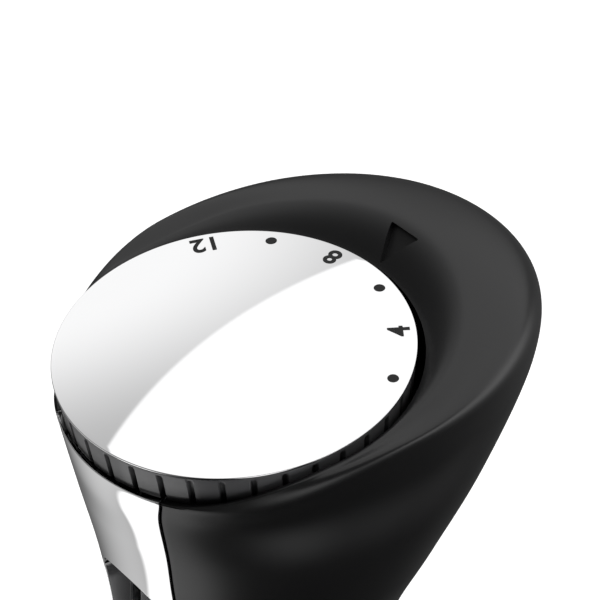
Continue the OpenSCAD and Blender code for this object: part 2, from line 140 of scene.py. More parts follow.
def resampled(outline: Array, count: int) -> Array:
    """Returns a closed outline as count points at equal steps of its length."""
    ring = np.vstack([outline, outline[:1]])
    along = np.concatenate([[0], np.cumsum(np.linalg.norm(np.diff(ring, axis=0), axis=1))])
    at = np.linspace(0, along[-1], count, endpoint=False)
    return np.stack([np.interp(at, along, ring[:, k]) for k in range(2)], axis=-1)


def outward(outline: Array) -> Array:
    """Returns the unit normals of a closed anticlockwise plane outline, pointing out of it."""
    tangent = unit(np.roll(outline, -1, axis=0) - np.roll(outline, 1, axis=0))
    return np.stack([tangent[:, 1], -tangent[:, 0]], axis=-1)


# ---------------------------------------------------------------------------------------------
# Meshes
# ---------------------------------------------------------------------------------------------

def grid_faces(rows: int, columns: int, wrap_rows: bool, wrap_columns: bool) -> Array:
    """Returns the quads of a grid of rows by columns points, joined round where asked."""
    i = np.arange(rows if wrap_rows else rows - 1)[:, None]
    j = np.arange(columns if wrap_columns else columns - 1)[None, :]
    below, beside = (i + 1) % rows, (j + 1) % columns
    corners = [i * columns + j, i * columns + beside, below * columns + beside, below * columns + j]
    return np.stack([np.broadcast_to(c, (i.size, j.size)).ravel() for c in corners], axis=-1)


def mesh_object(name: str, points: Array, faces: Sequence[Sequence[int]]) -> bpy.types.Object:
    """Makes an object from points in millimetres, with its doubles merged and its faces outwards."""
    mesh = bpy.data.meshes.new(name)
    mesh.from_pydata((np.asarray(points, float).reshape(-1, 3) * MM).tolist(), [], [list(f) for f in faces])
    return tidy_mesh(link(bpy.data.objects.new(name, mesh)))


def link(obj: bpy.types.Object) -> bpy.types.Object:
    """Returns the object, put into the scene."""
    bpy.context.scene.collection.objects.link(obj)
    return obj


def tidy_mesh(obj: bpy.types.Object) -> bpy.types.Object:
    """Merges doubles, turns the normals outwards and shades the mesh smooth up to sharp edges."""
    work = bmesh.new()
    work.from_mesh(obj.data)
    bmesh.ops.remove_doubles(work, verts=work.verts, dist=1e-7)
    bmesh.ops.dissolve_degenerate(work, dist=1e-8, edges=work.edges)
    bmesh.ops.recalc_face_normals(work, faces=work.faces)
    work.to_mesh(obj.data)
    work.free()
    obj.data.shade_smooth()
    obj.data.set_sharp_from_angle(angle=SHARP_ANGLE)
    return obj


def placed(points: Array, place: Optional[Matrix]) -> Array:
    """Returns the points moved by a matrix, or as they are without one."""
    if place is None:
        return points
    matrix = np.array(place, float)
    return points @ matrix[:3, :3].T + matrix[:3, 3]


def surface(
    name: str,
    points: Array,
    wrap_rows: bool = False,
    wrap_columns: bool = False,
) -> bpy.types.Object:
    """Makes a mesh of a grid of points.

    Args:
        name: The object's name.
        points: Array of rows by columns by 3, in millimetres.
        wrap_rows: Whether the last row joins the first.
        wrap_columns: Whether the last column joins the first.

    Returns:
        The object, at the origin.
    """
    rows, columns = points.shape[:2]
    return mesh_object(name, points, grid_faces(rows, columns, wrap_rows, wrap_columns))


def revolved(
    name: str,
    profile: Array,
    closed: bool,
    segments: int = 192,
    place: Optional[Matrix] = None,
    ripple: Optional[Callable[[Array, Array], Array]] = None,
) -> bpy.types.Object:
    """Turns a profile round the Z axis.

    Args:
        name: The object's name.
        profile: Radius and height of each profile point.
        closed: Whether the profile is a loop; if not, it starts and ends on the axis.
        segments: Steps round the axis.
        place: Where the turned shape goes.
        ripple: Returns what is added to the radius at (angle, profile position from 0 to 1).

    Returns:
        The object: radius and height follow the profile, x = r cos a, y = r sin a.
    """
    angle = np.linspace(0, TURN, segments, endpoint=False)[None, :]
    along = np.linspace(0, 1, len(profile))[:, None]
    radius = profile[:, 0][:, None] + np.zeros_like(angle)
    if ripple is not None:
        radius = radius + ripple(angle + np.zeros_like(along), along + np.zeros_like(angle))
    height = profile[:, 1][:, None] + np.zeros_like(angle)
    points = np.stack([radius * np.cos(angle), radius * np.sin(angle), height], axis=-1)
    points = placed(points, place)
    return surface(name, points, wrap_rows=closed, wrap_columns=True)


def cushion(
    name: str, outline: Array, front: float, back: float, crown: float, edge: float
) -> bpy.types.Object:
    """Makes a push button's cap: a crowned face with a rolled edge over straight sides.

    Args:
        name: The object's name.
        outline: Closed anticlockwise outline in X and Z.
        front: Y of the face's highest point.
        back: Y of the flat back.
        crown: How far the face falls from its middle to its edge.
        edge: Radius of the rolled edge.

    Returns:
        The object. The face's depth at a share s of the way out is front + crown s^2, then a
        quarter circle of radius edge leads into the sides.
    """
    centre = outline.mean(axis=0)
    normals = outward(outline)
    rings = []
    for share in np.linspace(0.0, 1.0, 14):
        rings.append((centre + (outline - normals * edge - centre) * share, front + crown * share ** 2))
    for bend in np.linspace(0.15, 1.0, 6) * math.pi / 2:
        rings.append((outline - normals * edge * (1 - math.sin(bend)),
                      front + crown + edge * (1 - math.cos(bend))))
    rings.append((outline, back))
    rings.append((centre + (outline - centre) * 1e-6, back))
    points = np.stack([np.stack([ring[:, 0], np.full(len(ring), y), ring[:, 1]], axis=-1)
                       for ring, y in rings])
    return surface(name, points, wrap_columns=True)


def applied(obj: bpy.types.Object) -> bpy.types.Object:
    """Returns the object with its modifiers worked into its mesh."""
    bpy.context.view_layer.update()
    shape = obj.evaluated_get(bpy.context.evaluated_depsgraph_get())
    mesh = bpy.data.meshes.new_from_object(shape)
    obj.modifiers.clear()
    obj.data = mesh
    return tidy_mesh(obj)


def cut(obj: bpy.types.Object, tools: Sequence[bpy.types.Object]) -> bpy.types.Object:
    """Takes each tool's volume out of the object and removes the tools."""
    for tool in tools:
        step = obj.modifiers.new("cut", "BOOLEAN")
        step.operation = "DIFFERENCE"
        step.solver = "EXACT"
        step.object = tool
    applied(obj)
    for tool in tools:
        bpy.data.objects.remove(tool)
    return obj


def prism(
    name: str, outline: Array, low: float, high: float, place: Optional[Matrix] = None
) -> bpy.types.Object:
    """Makes an upright block with the given XY outline between two heights."""
    count = len(outline)
    rings = [np.column_stack([outline, np.full(count, z)]) for z in (low, high)]
    points = np.vstack(rings)
    points = placed(points, place)
    sides = [[i, (i + 1) % count, count + (i + 1) % count, count + i] for i in range(count)]
    return mesh_object(name, points, sides + [list(range(count))[::-1], list(range(count, 2 * count))])


# ---------------------------------------------------------------------------------------------
# Shader building
# ---------------------------------------------------------------------------------------------

class Field:
    """A shader socket's value, with arithmetic that adds Math nodes."""

    def __init__(self, tree: "Tree", socket: bpy.types.NodeSocket) -> None:
        """Wraps one output socket of a tree."""
        self.tree = tree
        self.socket = socket

    def _math(self, operation: str, *values: "Field | float") -> "Field":
        """Returns the result of a Math node on these values."""
        inputs = {i: v for i, v in enumerate(values)}
        return self.tree.node("ShaderNodeMath", {"operation": operation}, inputs)

    def __add__(self, other: "Field | float") -> "Field":
        """Returns the sum."""
        return self._math("ADD", self, other)

    __radd__ = __add__

    def __mul__(self, other: "Field | float") -> "Field":
        """Returns the product."""
        return self._math("MULTIPLY", self, other)

    __rmul__ = __mul__

    def __sub__(self, other: "Field | float") -> "Field":
        """Returns the difference."""
        return self._math("SUBTRACT", self, other)

    def __rsub__(self, other: "Field | float") -> "Field":
        """Returns the difference the other way round."""
        return self._math("SUBTRACT", other, self)

    def above(self, edge: float, width: float) -> "Field":
        """Returns 0 below edge - width/2 and 1 above edge + width/2, eased between."""
        settings = {"interpolation_type": "SMOOTHSTEP"}
        inputs = {"Value": self, "From Min": edge - width / 2, "From Max": edge + width / 2}
        return self.tree.node("ShaderNodeMapRange", settings, inputs)


class Tree:
    """Adds nodes to a material's or the world's node tree."""

    def __init__(self, nodes: bpy.types.NodeTree) -> None:
        """Empties the tree."""
        self.nodes = nodes
        nodes.nodes.clear()

    def node(
        self,
        kind: str,
        settings: Optional[dict] = None,
        inputs: Optional[dict] = None,
        output: int | str = 0,
    ) -> Field:
        """Adds one node.

        Args:
            kind: The node's type.
            settings: Properties that are set first; "stops" gives a colour ramp's places and colours.
            inputs: Socket name or number to a value or a Field.
            output: The socket to return.

        Returns:
            The chosen output, as a Field.
        """
        node = self.nodes.nodes.new(kind)
        for key, value in (settings or {}).items():
            if key == "stops":
                self._stops(node.color_ramp, value)
            else:
                setattr(node, key, value)
        for key, value in (inputs or {}).items():
            if isinstance(value, Field):
                self.nodes.links.new(value.socket, node.inputs[key])
            else:
                node.inputs[key].default_value = value
        return Field(self, node.outputs[output]) if len(node.outputs) else Field(self, None)

    @staticmethod
    def _stops(ramp: bpy.types.ColorRamp, stops: Sequence[tuple[float, Sequence[float]]]) -> None:
        """Gives a colour ramp its places and colours."""
        while len(ramp.elements) < len(stops):
            ramp.elements.new(0.5)
        for element, (place, colour) in zip(ramp.elements, stops):
            element.position = place
            element.color = (*colour, 1.0)

    def place(self, scale: Sequence[float] = (1, 1, 1), turn: Sequence[float] = (0, 0, 0)) -> Field:
        """Returns the object's own coordinates in millimetres, scaled along each axis."""
        raw = self.node("ShaderNodeTexCoord", output="Object")
        size = [s / MM for s in scale]
        return self.node("ShaderNodeMapping", {}, {"Vector": raw, "Scale": size, "Rotation": turn})

    def noise(self, vector: Field, scale: float, detail: float = 3, rough: float = 0.5) -> Field:
        """Returns smooth noise from 0 to 1 with about scale bumps a millimetre."""
        return self.node("ShaderNodeTexNoise", {}, {
            "Vector": vector, "Scale": scale, "Detail": detail, "Roughness": rough})

    def tint(self, amount: Field, low: Sequence[float], high: Sequence[float]) -> Field:
        """Returns a colour from low to high as amount goes from 0 to 1."""
        return self.node("ShaderNodeMix", {"data_type": "RGBA"}, {
            0: amount, 6: (*low, 1.0), 7: (*high, 1.0)}, output=2)

    def bump(self, height: Field, depth_mm: float, strength: float = 1.0) -> Field:
        """Returns the normal of a surface raised by height times depth_mm."""
        return self.node("ShaderNodeBump", {}, {
            "Height": height, "Distance": depth_mm * MM, "Strength": strength})


@dataclass(frozen=True)
class Finish:
    """A material with one principled surface; its kinds say how its fields vary."""

    name: str
    colour: tuple[float, float, float]
    roughness: float

    def build(self) -> bpy.types.Material:
        """Returns the finished material."""
        material = bpy.data.materials.new(self.name)
        material.use_nodes = True
        tree = Tree(material.node_tree)
        inputs = {"Base Color": (*self.colour, 1.0), "Roughness": self.roughness}
        inputs.update(self.fields(tree))
        shader = tree.node("ShaderNodeBsdfPrincipled", {}, inputs)
        tree.node("ShaderNodeOutputMaterial", {}, {"Surface": shader})
        return material

    def fields(self, tree: Tree) -> dict:
        """Returns the shader inputs that this kind of finish sets."""
        return {}


@dataclass(frozen=True)
class Moulded(Finish):
    """Moulded plastic or rubber with a fine spark-eroded grain."""

    grain: float = 3.0
    depth: float = 0.012
    mottle: float = 0.12
    coat: float = 0.0
    sheen: float = 0.0

    def fields(self, tree: Tree) -> dict:
        """Grain is fine noise in the normal; broad noise varies tone and roughness."""
        place = tree.place()
        broad = tree.noise(place, 0.09, 2)
        grain = tree.noise(place, self.grain, 4, 0.6)
        low = [c * (1 - self.mottle) for c in self.colour]
        high = [c * (1 + self.mottle) for c in self.colour]
        return {
            "Base Color": tree.tint(broad, low, high),
            "Roughness": self.roughness * (0.88 + 0.16 * broad + 0.08 * grain),
            "Normal": tree.bump(grain, self.depth),
            "Coat Weight": self.coat,
            "Coat Roughness": 0.12,
            "Sheen Weight": self.sheen,
            "Sheen Roughness": 0.4,
        }


@dataclass(frozen=True)
class Polished(Finish):
    """Mirror-polished steel with faint hairlines and finger haze."""

    haze: float = 0.012

    def fields(self, tree: Tree) -> dict:
        """Stretched noise gives hairlines; broad noise gives the haze in the roughness."""
        hairs = tree.noise(tree.place((1, 1, 0.06)), 9, 2)
        haze = tree.noise(tree.place(), 0.12, 3)
        return {
            "Metallic": 1.0,
            "Roughness": self.roughness + self.haze * haze * haze + 0.004 * hairs,
            "Normal": tree.bump(hairs, 0.0001),
        }


@dataclass(frozen=True)
class Brushed(Finish):
    """Satin steel, brushed along or round the shaft."""

    stretch: tuple[float, float, float] = (1.0, 1.0, 0.03)

    def fields(self, tree: Tree) -> dict:
        """Noise drawn out along the brushing varies roughness, tone and normal."""
        lines = tree.noise(tree.place(self.stretch), 6, 4, 0.65)
        stains = tree.noise(tree.place(), 0.07, 3)
        low, high = [c * 0.9 for c in self.colour], [min(1.0, c * 1.08) for c in self.colour]
        return {
            "Base Color": tree.tint(lines, low, high),
            "Metallic": 1.0,
            "Roughness": self.roughness + 0.16 * lines + 0.08 * stains - 0.1,
            "Normal": tree.bump(lines, 0.004),
        }


@dataclass(frozen=True)
class Banded(Finish):
    """Fine parallel bands across one axis: wound wire, stacked sheets or segments."""

    pitch: float = 0.5
    along: tuple[float, float, float] = (0.0, 0.0, 1.0)
    metal: float = 1.0

    def fields(self, tree: Tree) -> dict:
        """A wave of the given pitch raises each band and darkens the grooves between."""
        vector = tree.place(self.along)
        wave = tree.node("ShaderNodeTexWave", {"wave_type": "BANDS", "bands_direction": "DIAGONAL"}, {
            "Vector": vector, "Scale": 0.314 / self.pitch, "Distortion": 0.4, "Detail": 1.0}, output=1)
        soot = tree.noise(tree.place(), 0.2, 3)
        low = [c * 0.35 for c in self.colour]
        return {
            "Base Color": tree.tint(wave * (0.75 + 0.25 * soot), low, self.colour),
            "Metallic": self.metal,
            "Roughness": self.roughness + 0.15 * soot,
            "Normal": tree.bump(wave, 0.05),
        }


@dataclass(frozen=True)
class WheelGrey(Finish):
    """The thumb wheel's plastic: satin grey near the cap, darkened to black lower down by painted shade where the
    shell closes round it.
    """

    # The two fields below set the painted shade low on the wheel: the width of its fade in millimetres and the
    # colour it darkens to.
    fade: float = 3.0
    dark: tuple[float, float, float] = (0.006, 0.006, 0.007)

    def fields(self, tree: Tree) -> dict:
        """Height under the dial's plane darkens the tone as painted shade; fine noise gives the grain."""
        place = tree.place()
        depth = tree.node("ShaderNodeVectorMath", {"operation": "DOT_PRODUCT"}, {
            0: place, 1: tuple(DIAL.normal)}, output=1)
        # Painted shade: level falls from 1 to 0 round 3.6 mm under the dial's plane, tinting the wheel towards the
        # dark colour.
        level = (depth - float(DIAL.normal @ DIAL.centre)).above(-3.6, self.fade)
        grain = tree.noise(place, 2.5, 3)
        return {
            "Base Color": tree.tint(level, self.dark, self.colour),
            "Roughness": self.roughness + 0.1 * grain,
            "Normal": tree.bump(grain, 0.008),
            "Coat Weight": 0.4,
            "Coat Roughness": 0.08,
        }


@dataclass(frozen=True)
class CircuitGreen(Finish):
    """Lacquered circuit board with paler copper tracks under the lacquer."""

    def fields(self, tree: Tree) -> dict:
        """Cells of a checked noise stand for the tracks."""
        mask = tree.node("ShaderNodeTexBrick", {"offset": 0.5}, {
            "Vector": tree.place((1, 0, 1)), "Scale": 0.3, "Mortar Size": 0.03}, output=1)
        return {
            "Base Color": tree.tint(mask, self.colour, [c * 2 + 0.05 for c in self.colour]),
            "Roughness": self.roughness,
            "Normal": tree.bump(mask, 0.03),
            "Coat Weight": 0.6,
        }


@dataclass(frozen=True)
class Ink(Finish):
    """Screen-printed ink with a slightly uneven film."""

    def fields(self, tree: Tree) -> dict:
        """Fine noise varies the ink's tone and gloss."""
        film = tree.noise(tree.place(), 1.5, 3)
        return {
            "Base Color": tree.tint(film, self.colour, [c * 1.6 + 0.002 for c in self.colour]),
            "Roughness": self.roughness + 0.12 * film,
            "Normal": tree.bump(film, 0.004),
        }


class Slot(Enum):
    """The record's material slots that pieces take their finishes from."""

    SHELL = "soft_shell"
    POLISHED = "polished_steel"
    SATIN = "satin_steel"
    BLADE = "blade_steel"
    TURNED = "turned_steel"
    SKIRT = "skirt_grey"
    BUTTON = "button_grey"
    RELEASE = "release_grey"
    DARK = "dark_plastic"
    FOOT = "foot_black"
    COUPLER = "coupler_plastic"
    IVORY = "ivory_plastic"
    BLUE = "blue_plastic"
    BOARD = "board_green"
    RUBBER = "black_rubber"
    CARBON = "carbon"
    LAMINATION = "lamination"
    COPPER_WIRE = "copper_wire"
    COPPER_BAR = "copper_bar"
    BRONZE = "bronze"
    ALUMINIUM = "cast_aluminium"


# ---------------------------------------------------------------------------------------------
# The dial's place, read from the frame
# ---------------------------------------------------------------------------------------------

@dataclass(frozen=True)
class DialPlace:
    """Where the dial is: its centre and axis in millimetres, and its radius."""

    centre: Array
    normal: Array
    radius: float

    @classmethod
    def from_frame(cls) -> "DialPlace":
        """Reads the dial's joint and the cap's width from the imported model."""
        joint = next(j for j in frame["joints"] if j["name"] == "dial_turn")
        low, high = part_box("dial_cap")
        return cls(np.array(joint["pos_m"]) / MM, unit(np.array(joint["axis"], float)),
                   round((high.x - low.x) / MM / 2, 2))

    @property
    def back(self) -> Array:
        """The direction in the dial's plane that points straight back."""
        return np.array([0.0, self.normal[2], -self.normal[1]])

    def point(self, across: Array, back: Array, height: Array) -> Array:
        """Returns points given in the dial's plane, in the blender's own frame."""
        parts = np.broadcast_arrays(across, back, height)
        return (self.centre + parts[0][..., None] * np.array([1.0, 0, 0])
                + parts[1][..., None] * self.back + parts[2][..., None] * self.normal)

    def matrix(self, turn: float = 0.0) -> Matrix:
        """Returns the dial's plane as a matrix, turned about its axis by degrees."""
        side = np.array([1.0, 0, 0])
        columns = np.column_stack([side, self.back, self.normal])
        full = np.eye(4)
        full[:3, :3] = columns
        full[:3, 3] = self.centre
        return Matrix(full.tolist()) @ Matrix.Rotation(math.radians(turn), 4, "Z")


DIAL = DialPlace.from_frame()
POINTER_TURN = 5.0


# ---------------------------------------------------------------------------------------------
# Casing
# ---------------------------------------------------------------------------------------------

@dataclass(frozen=True)
class CasingForm:
    """The handle's outer form, as sections that a smooth curve runs through.

    Each section of the grip gives height, half width, front, back and the seam's angle. Those of
    the neck give the same in dial radii from the dial's centre.
    """

    grip: tuple = (
        (175, 25.5, -25.5, 25.5, 26.5),
        (205, 27, -27, 27, 25),
        (235, 27.5, -27.5, 27.5, 24.5),
        (268, 25.5, -27.5, 24.5, 26.5),
        (295, 21, -27, 17, 31.5),
        (318, 17.2, -27, 10.5, 38.5),
    )
    neck: tuple = (
        (-2.4, 0.653, -0.69, 0.796, 39),
        (-1.8, 0.725, -0.688, 0.989, 34),
        (-1.3, 0.897, -0.75, 1.25, 25),
        (-0.8, 1.048, -0.864, 1.545, 24.5),
    )
    head_seam: float = 24.5

    @staticmethod
    def oval(half: Array | float, front: Array | float, back: Array | float, angle: Array) -> tuple:
        """Returns x and y of an ellipse at an angle from its front, with these extents."""
        return half * np.sin(angle), (front + back) / 2 - (back - front) / 2 * np.cos(angle)

    def sections(self) -> list:
        """Returns the sections below the head, all in millimetres."""
        radius = DIAL.radius
        low = [DIAL.centre[2] + s[0] * radius for s in self.neck]
        neck = [(z, s[1] * radius, DIAL.centre[1] + s[2] * radius, DIAL.centre[1] + s[3] * radius, s[4])
                for z, s in zip(low, self.neck)]
        return list(self.grip) + neck

    @staticmethod
    def off_front(angle: Array) -> Array:
        """Returns how many degrees each angle is away from the front."""
        return np.degrees(np.abs((angle + math.pi) % TURN - math.pi))

    def lip_height(self, off_front: Array) -> Array:
        """Returns the lip's height over the dial's face, in dial radii: it dips at the front."""
        return mix(-0.25, -0.05, smooth((off_front - 24) / 60))

    def knots(self, angle: Array) -> Array:
        """Returns the sections' points at each angle: knots first, then the angles' own shape."""
        radius = DIAL.radius
        off_front = self.off_front(angle)
        points = []
        for z, half, front, back, _ in self.sections():
            x, y = self.oval(half, front, back, angle)
            points.append(np.stack([x, y, np.full_like(x, z)], axis=-1))
        lip = self.lip_height(off_front)
        rings = [
            (self.oval(1.092, -0.987, 1.825, angle), -0.417),
            (self.oval(1.186, -0.993, 1.762, angle), mix(-0.044, -0.25, smooth((90 - off_front) / 50))),
        ]
        share = smooth((off_front - 70) / 50)
        near, far = self.oval(1.075, -0.97, 1.07, angle), self.oval(1.06, -0.93, 1.33, angle)
        rise = mix(-0.03, 0.09, smooth((off_front - 80) / 100))
        rings.append(((mix(near[0], far[0], share), mix(near[1], far[1], share)), mix(lip, rise, share)))
        rings.append((self.oval(1.035, -0.96, 1.036, angle), lip))
        for (x, y), height in rings:
            points.append(DIAL.point(x * radius, y * radius, height * radius + np.zeros_like(x)))
        return np.stack(points)

    @property
    def top(self) -> int:
        """The curve's last knot, the lip."""
        return len(self.grip) + len(self.neck) + 3

    @staticmethod
    def curve(knots: Array, place: Array) -> Array:
        """Returns the smooth curve through knots at places counted in knots.

        It is the cubic whose slope at each knot is half the step between its neighbours.

        Args:
            knots: Array of knots by coordinates, or of knots by places by coordinates.
            place: Array of places.

        Returns:
            One row of coordinates for each place.
        """
        last = len(knots) - 1
        i = np.minimum(np.floor(place).astype(int), last - 1)
        k = (place - i)[:, None]

        def pick(at: Array) -> Array:
            """Returns each place's own knot."""
            return knots[at, np.arange(len(place))] if knots.ndim > 2 else knots[at]

        a, b = pick(np.clip(i - 1, 0, last)), pick(i)
        c, d = pick(i + 1), pick(np.clip(i + 2, 0, last))
        return b + 0.5 * k * (c - a + k * (2 * a - 5 * b + 4 * c - d + k * (3 * (b - c) + d - a)))

    def seam(self, place: Array) -> Array:
        """Returns the seam's angle from the front, in radians, at each place."""
        angles = np.array([s[4] for s in self.sections()] + [self.head_seam] * 4, float)
        return np.radians(self.curve(angles[:, None], place)[:, 0])

    def points(self, angle: Array, place: Array) -> Array:
        """Returns skin points for arrays of angles and places of one shape."""
        return self.curve(self.knots(angle.ravel()), place.ravel()).reshape(*angle.shape, 3)

    def inside(self, angle: Array, place: Array, depth: Array | float) -> Array:
        """Returns points a depth under the skin, straight in from it."""
        step = 1e-3
        by_angle = self.points(angle + step, place) - self.points(angle - step, place)
        by_place = self.points(angle, place + step) - self.points(angle, place - step)
        return self.points(angle, place) - np.asarray(depth)[..., None] * unit(np.cross(by_angle, by_place))

    def breadth(self, place: Array) -> Array:
        """Returns the form's half width at each place, which turns lengths round it into angles."""
        return self.points(np.full_like(place, math.pi / 2), place)[..., 0]

    def land(self, radius: float) -> float:
        """Returns the height over the dial's plane of the land behind the dial at a radius."""
        place = np.linspace(self.top - 2, self.top, 60)
        offset = self.points(np.full_like(place, math.pi), place) - DIAL.centre
        return float(np.interp(radius, (offset @ DIAL.back)[::-1], (offset @ DIAL.normal)[::-1]))

    def front_depth(self, x: Array, z: Array) -> Array:
        """Returns the front's y at each x and z, found by repeated correction of angle and place."""
        angle = np.arcsin(np.clip(x / 19.0, -0.9, 0.9))
        place = np.interp(z, [s[0] for s in self.sections()], np.arange(len(self.sections())))
        step = 1e-3
        for _ in range(12):
            here = self.points(angle, place)
            by_angle = (self.points(angle + step, place) - here) / step
            by_place = (self.points(angle, place + step) - here) / step
            ex, ez = x - here[..., 0], z - here[..., 2]
            det = by_angle[..., 0] * by_place[..., 2] - by_place[..., 0] * by_angle[..., 2]
            angle = angle + (ex * by_place[..., 2] - by_place[..., 0] * ez) / det
            place = place + (by_angle[..., 0] * ez - ex * by_angle[..., 2]) / det
        return self.points(angle, place)[..., 1]


@dataclass
class Casing:
    """The soft-touch rear shell, the polished front panel and the pocket for the buttons."""

    form: CasingForm
    wall: float = 1.6
    lip: float = 0.25
    lip_reach: float = 1.75
    lip_blend: float = 0.25
    seam_gap: float = 0.34
    bevel: float = 0.16
    pocket_half: float = 8.6
    pocket_low: float = 308.0
    pocket_high: float = 357.0
    rim: float = 0.45
    pocket_floor: float = -18.0
    pointer_depth: float = 0.95

    def places(self, fine: int) -> Array:
        """Returns the rows' places along the curve, closer together over the head."""
        neck = len(self.form.grip)
        low = np.linspace(0, neck, 6 * fine, endpoint=False)
        high = np.linspace(neck, self.form.top, 16 * fine)
        return np.concatenate([low, high])

    def sheet(self, name: str, rear: bool, columns: int, fine: int) -> bpy.types.Object:
        """Makes one wall of the casing between its two seams.

        Args:
            name: The object's name.
            rear: True for the shell, False for the front panel.
            columns: Points round the handle.
            fine: How many rows there are for each part of the height.

        Returns:
            The closed wall. A row goes round it at one place: along the skin from seam to seam, each
            edge rolled inwards on a quarter circle, and back along the inner side.
        """
        place = self.places(fine)[:, None]
        reach = self.form.breadth(place)
        seam = self.form.seam(place[:, 0])[:, None]
        low, high = (seam, TURN - seam) if rear else (-seam, seam)
        bend = np.linspace(0, math.pi / 2, 5)[None, :]
        roll, sink = self.bevel * (1 - np.cos(bend)), self.bevel * (1 - np.sin(bend))
        clear = self.seam_gap / 2
        start, stop = low + (clear + roll) / reach, high - (clear + roll) / reach
        middle = mix(start[:, -1:], stop[:, -1:], np.linspace(0, 1, columns)[None, 1:-1])
        outer = np.hstack([start, middle, stop[:, ::-1]])
        depth = np.hstack([sink + 0 * reach, 0 * middle, sink[:, ::-1] + 0 * reach])
        inner = np.hstack([stop[:, :1], middle[:, ::-1], start[:, :1]])
        below = smooth((self.form.top - self.lip_reach - place) / self.lip_blend)
        behind = smooth((self.form.off_front(inner) - 90) / 40)
        thin = mix(self.lip, self.wall, np.maximum(below, behind))
        angle = np.hstack([outer, inner])
        depth = np.hstack([depth, thin])
        points = self.form.inside(angle, place + 0 * angle, depth)
        rows, around = angle.shape
        faces = grid_faces(rows, around, False, True).tolist()
        across = outer.shape[1]
        faces += self.end_faces(0, across, around) + self.end_faces((rows - 1) * around, across, around)
        return mesh_object(name, points, faces)

    @staticmethod
    def end_faces(first: int, across: int, around: int) -> list[list[int]]:
        """Returns the faces that close one end of a wall, between its outer and inner points.

        Args:
            first: Number of the end row's first point.
            across: How many of the row's points are on the outer side.
            around: How many points the row has in all.

        Returns:
            Quads from each outer step to the inner step behind it, and fans at the rolled edges.
        """
        inner = around - across
        spare = (across - inner) // 2
        faces = []
        for i in range(across - 1):
            near = around - 1 - min(max(i - spare, 0), inner - 1)
            far = around - 1 - min(max(i + 1 - spare, 0), inner - 1)
            quad = [first + i, first + i + 1, first + far]
            faces.append(quad if near == far else quad + [first + near])
        return faces

    def stadium(self, half: float, count: int = 240) -> Array:
        """Returns the pocket's outline grown to a half width, anticlockwise seen from the front."""
        turn = np.linspace(0, math.pi, 40)
        upper = np.stack([half * np.cos(turn), self.pocket_high + half * np.sin(turn)], axis=-1)
        lower = np.stack([-half * np.cos(turn), self.pocket_low - half * np.sin(turn)], axis=-1)
        return resampled(np.vstack([upper, lower]), count)

    def pointer_tool(self) -> bpy.types.Object:
        """Makes the triangular tool that sinks the pointer's recess: its floor follows the land."""
        radius = DIAL.radius
        near, far = 1.06 * radius, 1.26 * radius
        low, high = self.form.land(near), self.form.land(far)
        slope = math.atan2(high - low, far - near)
        reach = math.hypot(high - low, far - near) / 2
        outline = filleted([(0, -reach, 0.12), (0.112 * radius, reach, 0.2), (-0.112 * radius, reach, 0.2)],
                           closed=True, steps=4)
        middle = Matrix.Translation(Vector((0, (near + far) / 2, (low + high) / 2)))
        place = DIAL.matrix(POINTER_TURN) @ middle @ Matrix.Rotation(slope, 4, "X")
        return prism("pointer_tool", outline, -self.pointer_depth, 6.0, place)

    def pocket_tool(self) -> bpy.types.Object:
        """Makes the tool that opens the panel for the pocket's rim."""
        outline = self.stadium(self.pocket_half + self.rim)
        turn = Matrix.Rotation(math.radians(90), 4, "X")
        return prism("pocket_tool", outline, 10.0, 45.0, turn)

    def shell(self) -> bpy.types.Object:
        """Makes the rear shell with the pointer's recess."""
        obj = self.sheet("shell_rear", True, 200, 9)
        obj = cut(obj, [self.pointer_tool()])
        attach(obj, "handle")
        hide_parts("rear_shell")
        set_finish(obj, Slot.SHELL.value)
        return obj

    def panel(self) -> bpy.types.Object:
        """Makes the front panel with its opening for the buttons."""
        obj = self.sheet("panel_front", False, 44, 12)
        obj = cut(obj, [self.pocket_tool()])
        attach(obj, "handle")
        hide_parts("front_panel")
        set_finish(obj, Slot.POLISHED.value)
        return obj

    def pocket(self) -> bpy.types.Object:
        """Makes the pocket's wall: a rim flush with the panel that rolls into a straight wall.

        The rim follows the panel: its depth at each point of the outline is the panel's own there.
        """
        outline = self.stadium(self.pocket_half)
        normals = outward(outline)
        outer = self.rim - 0.04
        profile = [(outer, 0.03), (outer - 0.1, 0.0)]
        roll = 0.3
        for bend in np.linspace(0, math.pi / 2, 6):
            profile.append((roll - roll * math.sin(bend), roll - roll * math.cos(bend)))
        rows = []
        for off, depth in profile:
            at = outline + normals * off
            rows.append(np.stack([at[:, 0], self.form.front_depth(at[:, 0], at[:, 1]) + depth, at[:, 1]], -1))
        for off in (0.0, outer):
            at = outline + normals * off
            rows.append(np.stack([at[:, 0], np.full(len(at), self.pocket_floor), at[:, 1]], -1))
        obj = surface("pocket_rim", np.stack(rows), wrap_rows=True, wrap_columns=True)
        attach(obj, "handle")
        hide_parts("button_bezel")
        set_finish(obj, Slot.POLISHED.value)
        return obj

    def well(self) -> bpy.types.Object:
        """Makes the dark lining behind the panel's top, a thin sheet just inside its wall."""
        angle = np.radians(np.linspace(-34, 34, 60))[None, :]
        down = np.linspace(self.form.top - 2.05, self.form.top - 3.6, 26)[:, None]
        near = self.form.inside(angle + 0 * down, down + 0 * angle, self.wall + 0.12)
        far = self.form.inside(angle + 0 * down, down + 0 * angle, self.wall + 0.4)
        sheets = np.concatenate([near, far[::-1]])
        rows, columns = sheets.shape[:2]
        faces = grid_faces(rows, columns, True, False).tolist()
        for side in (0, columns - 1):
            faces += [[i * columns + side, (i + 1) * columns + side,
                       (rows - 2 - i) * columns + side, (rows - 1 - i) * columns + side]
                      for i in range(rows // 2 - 1)]
        obj = mesh_object("dial_well", sheets, faces)
        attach(obj, "handle")
        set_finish(obj, Slot.DARK.value)
        return obj


# ---------------------------------------------------------------------------------------------
# Speed dial
# ---------------------------------------------------------------------------------------------

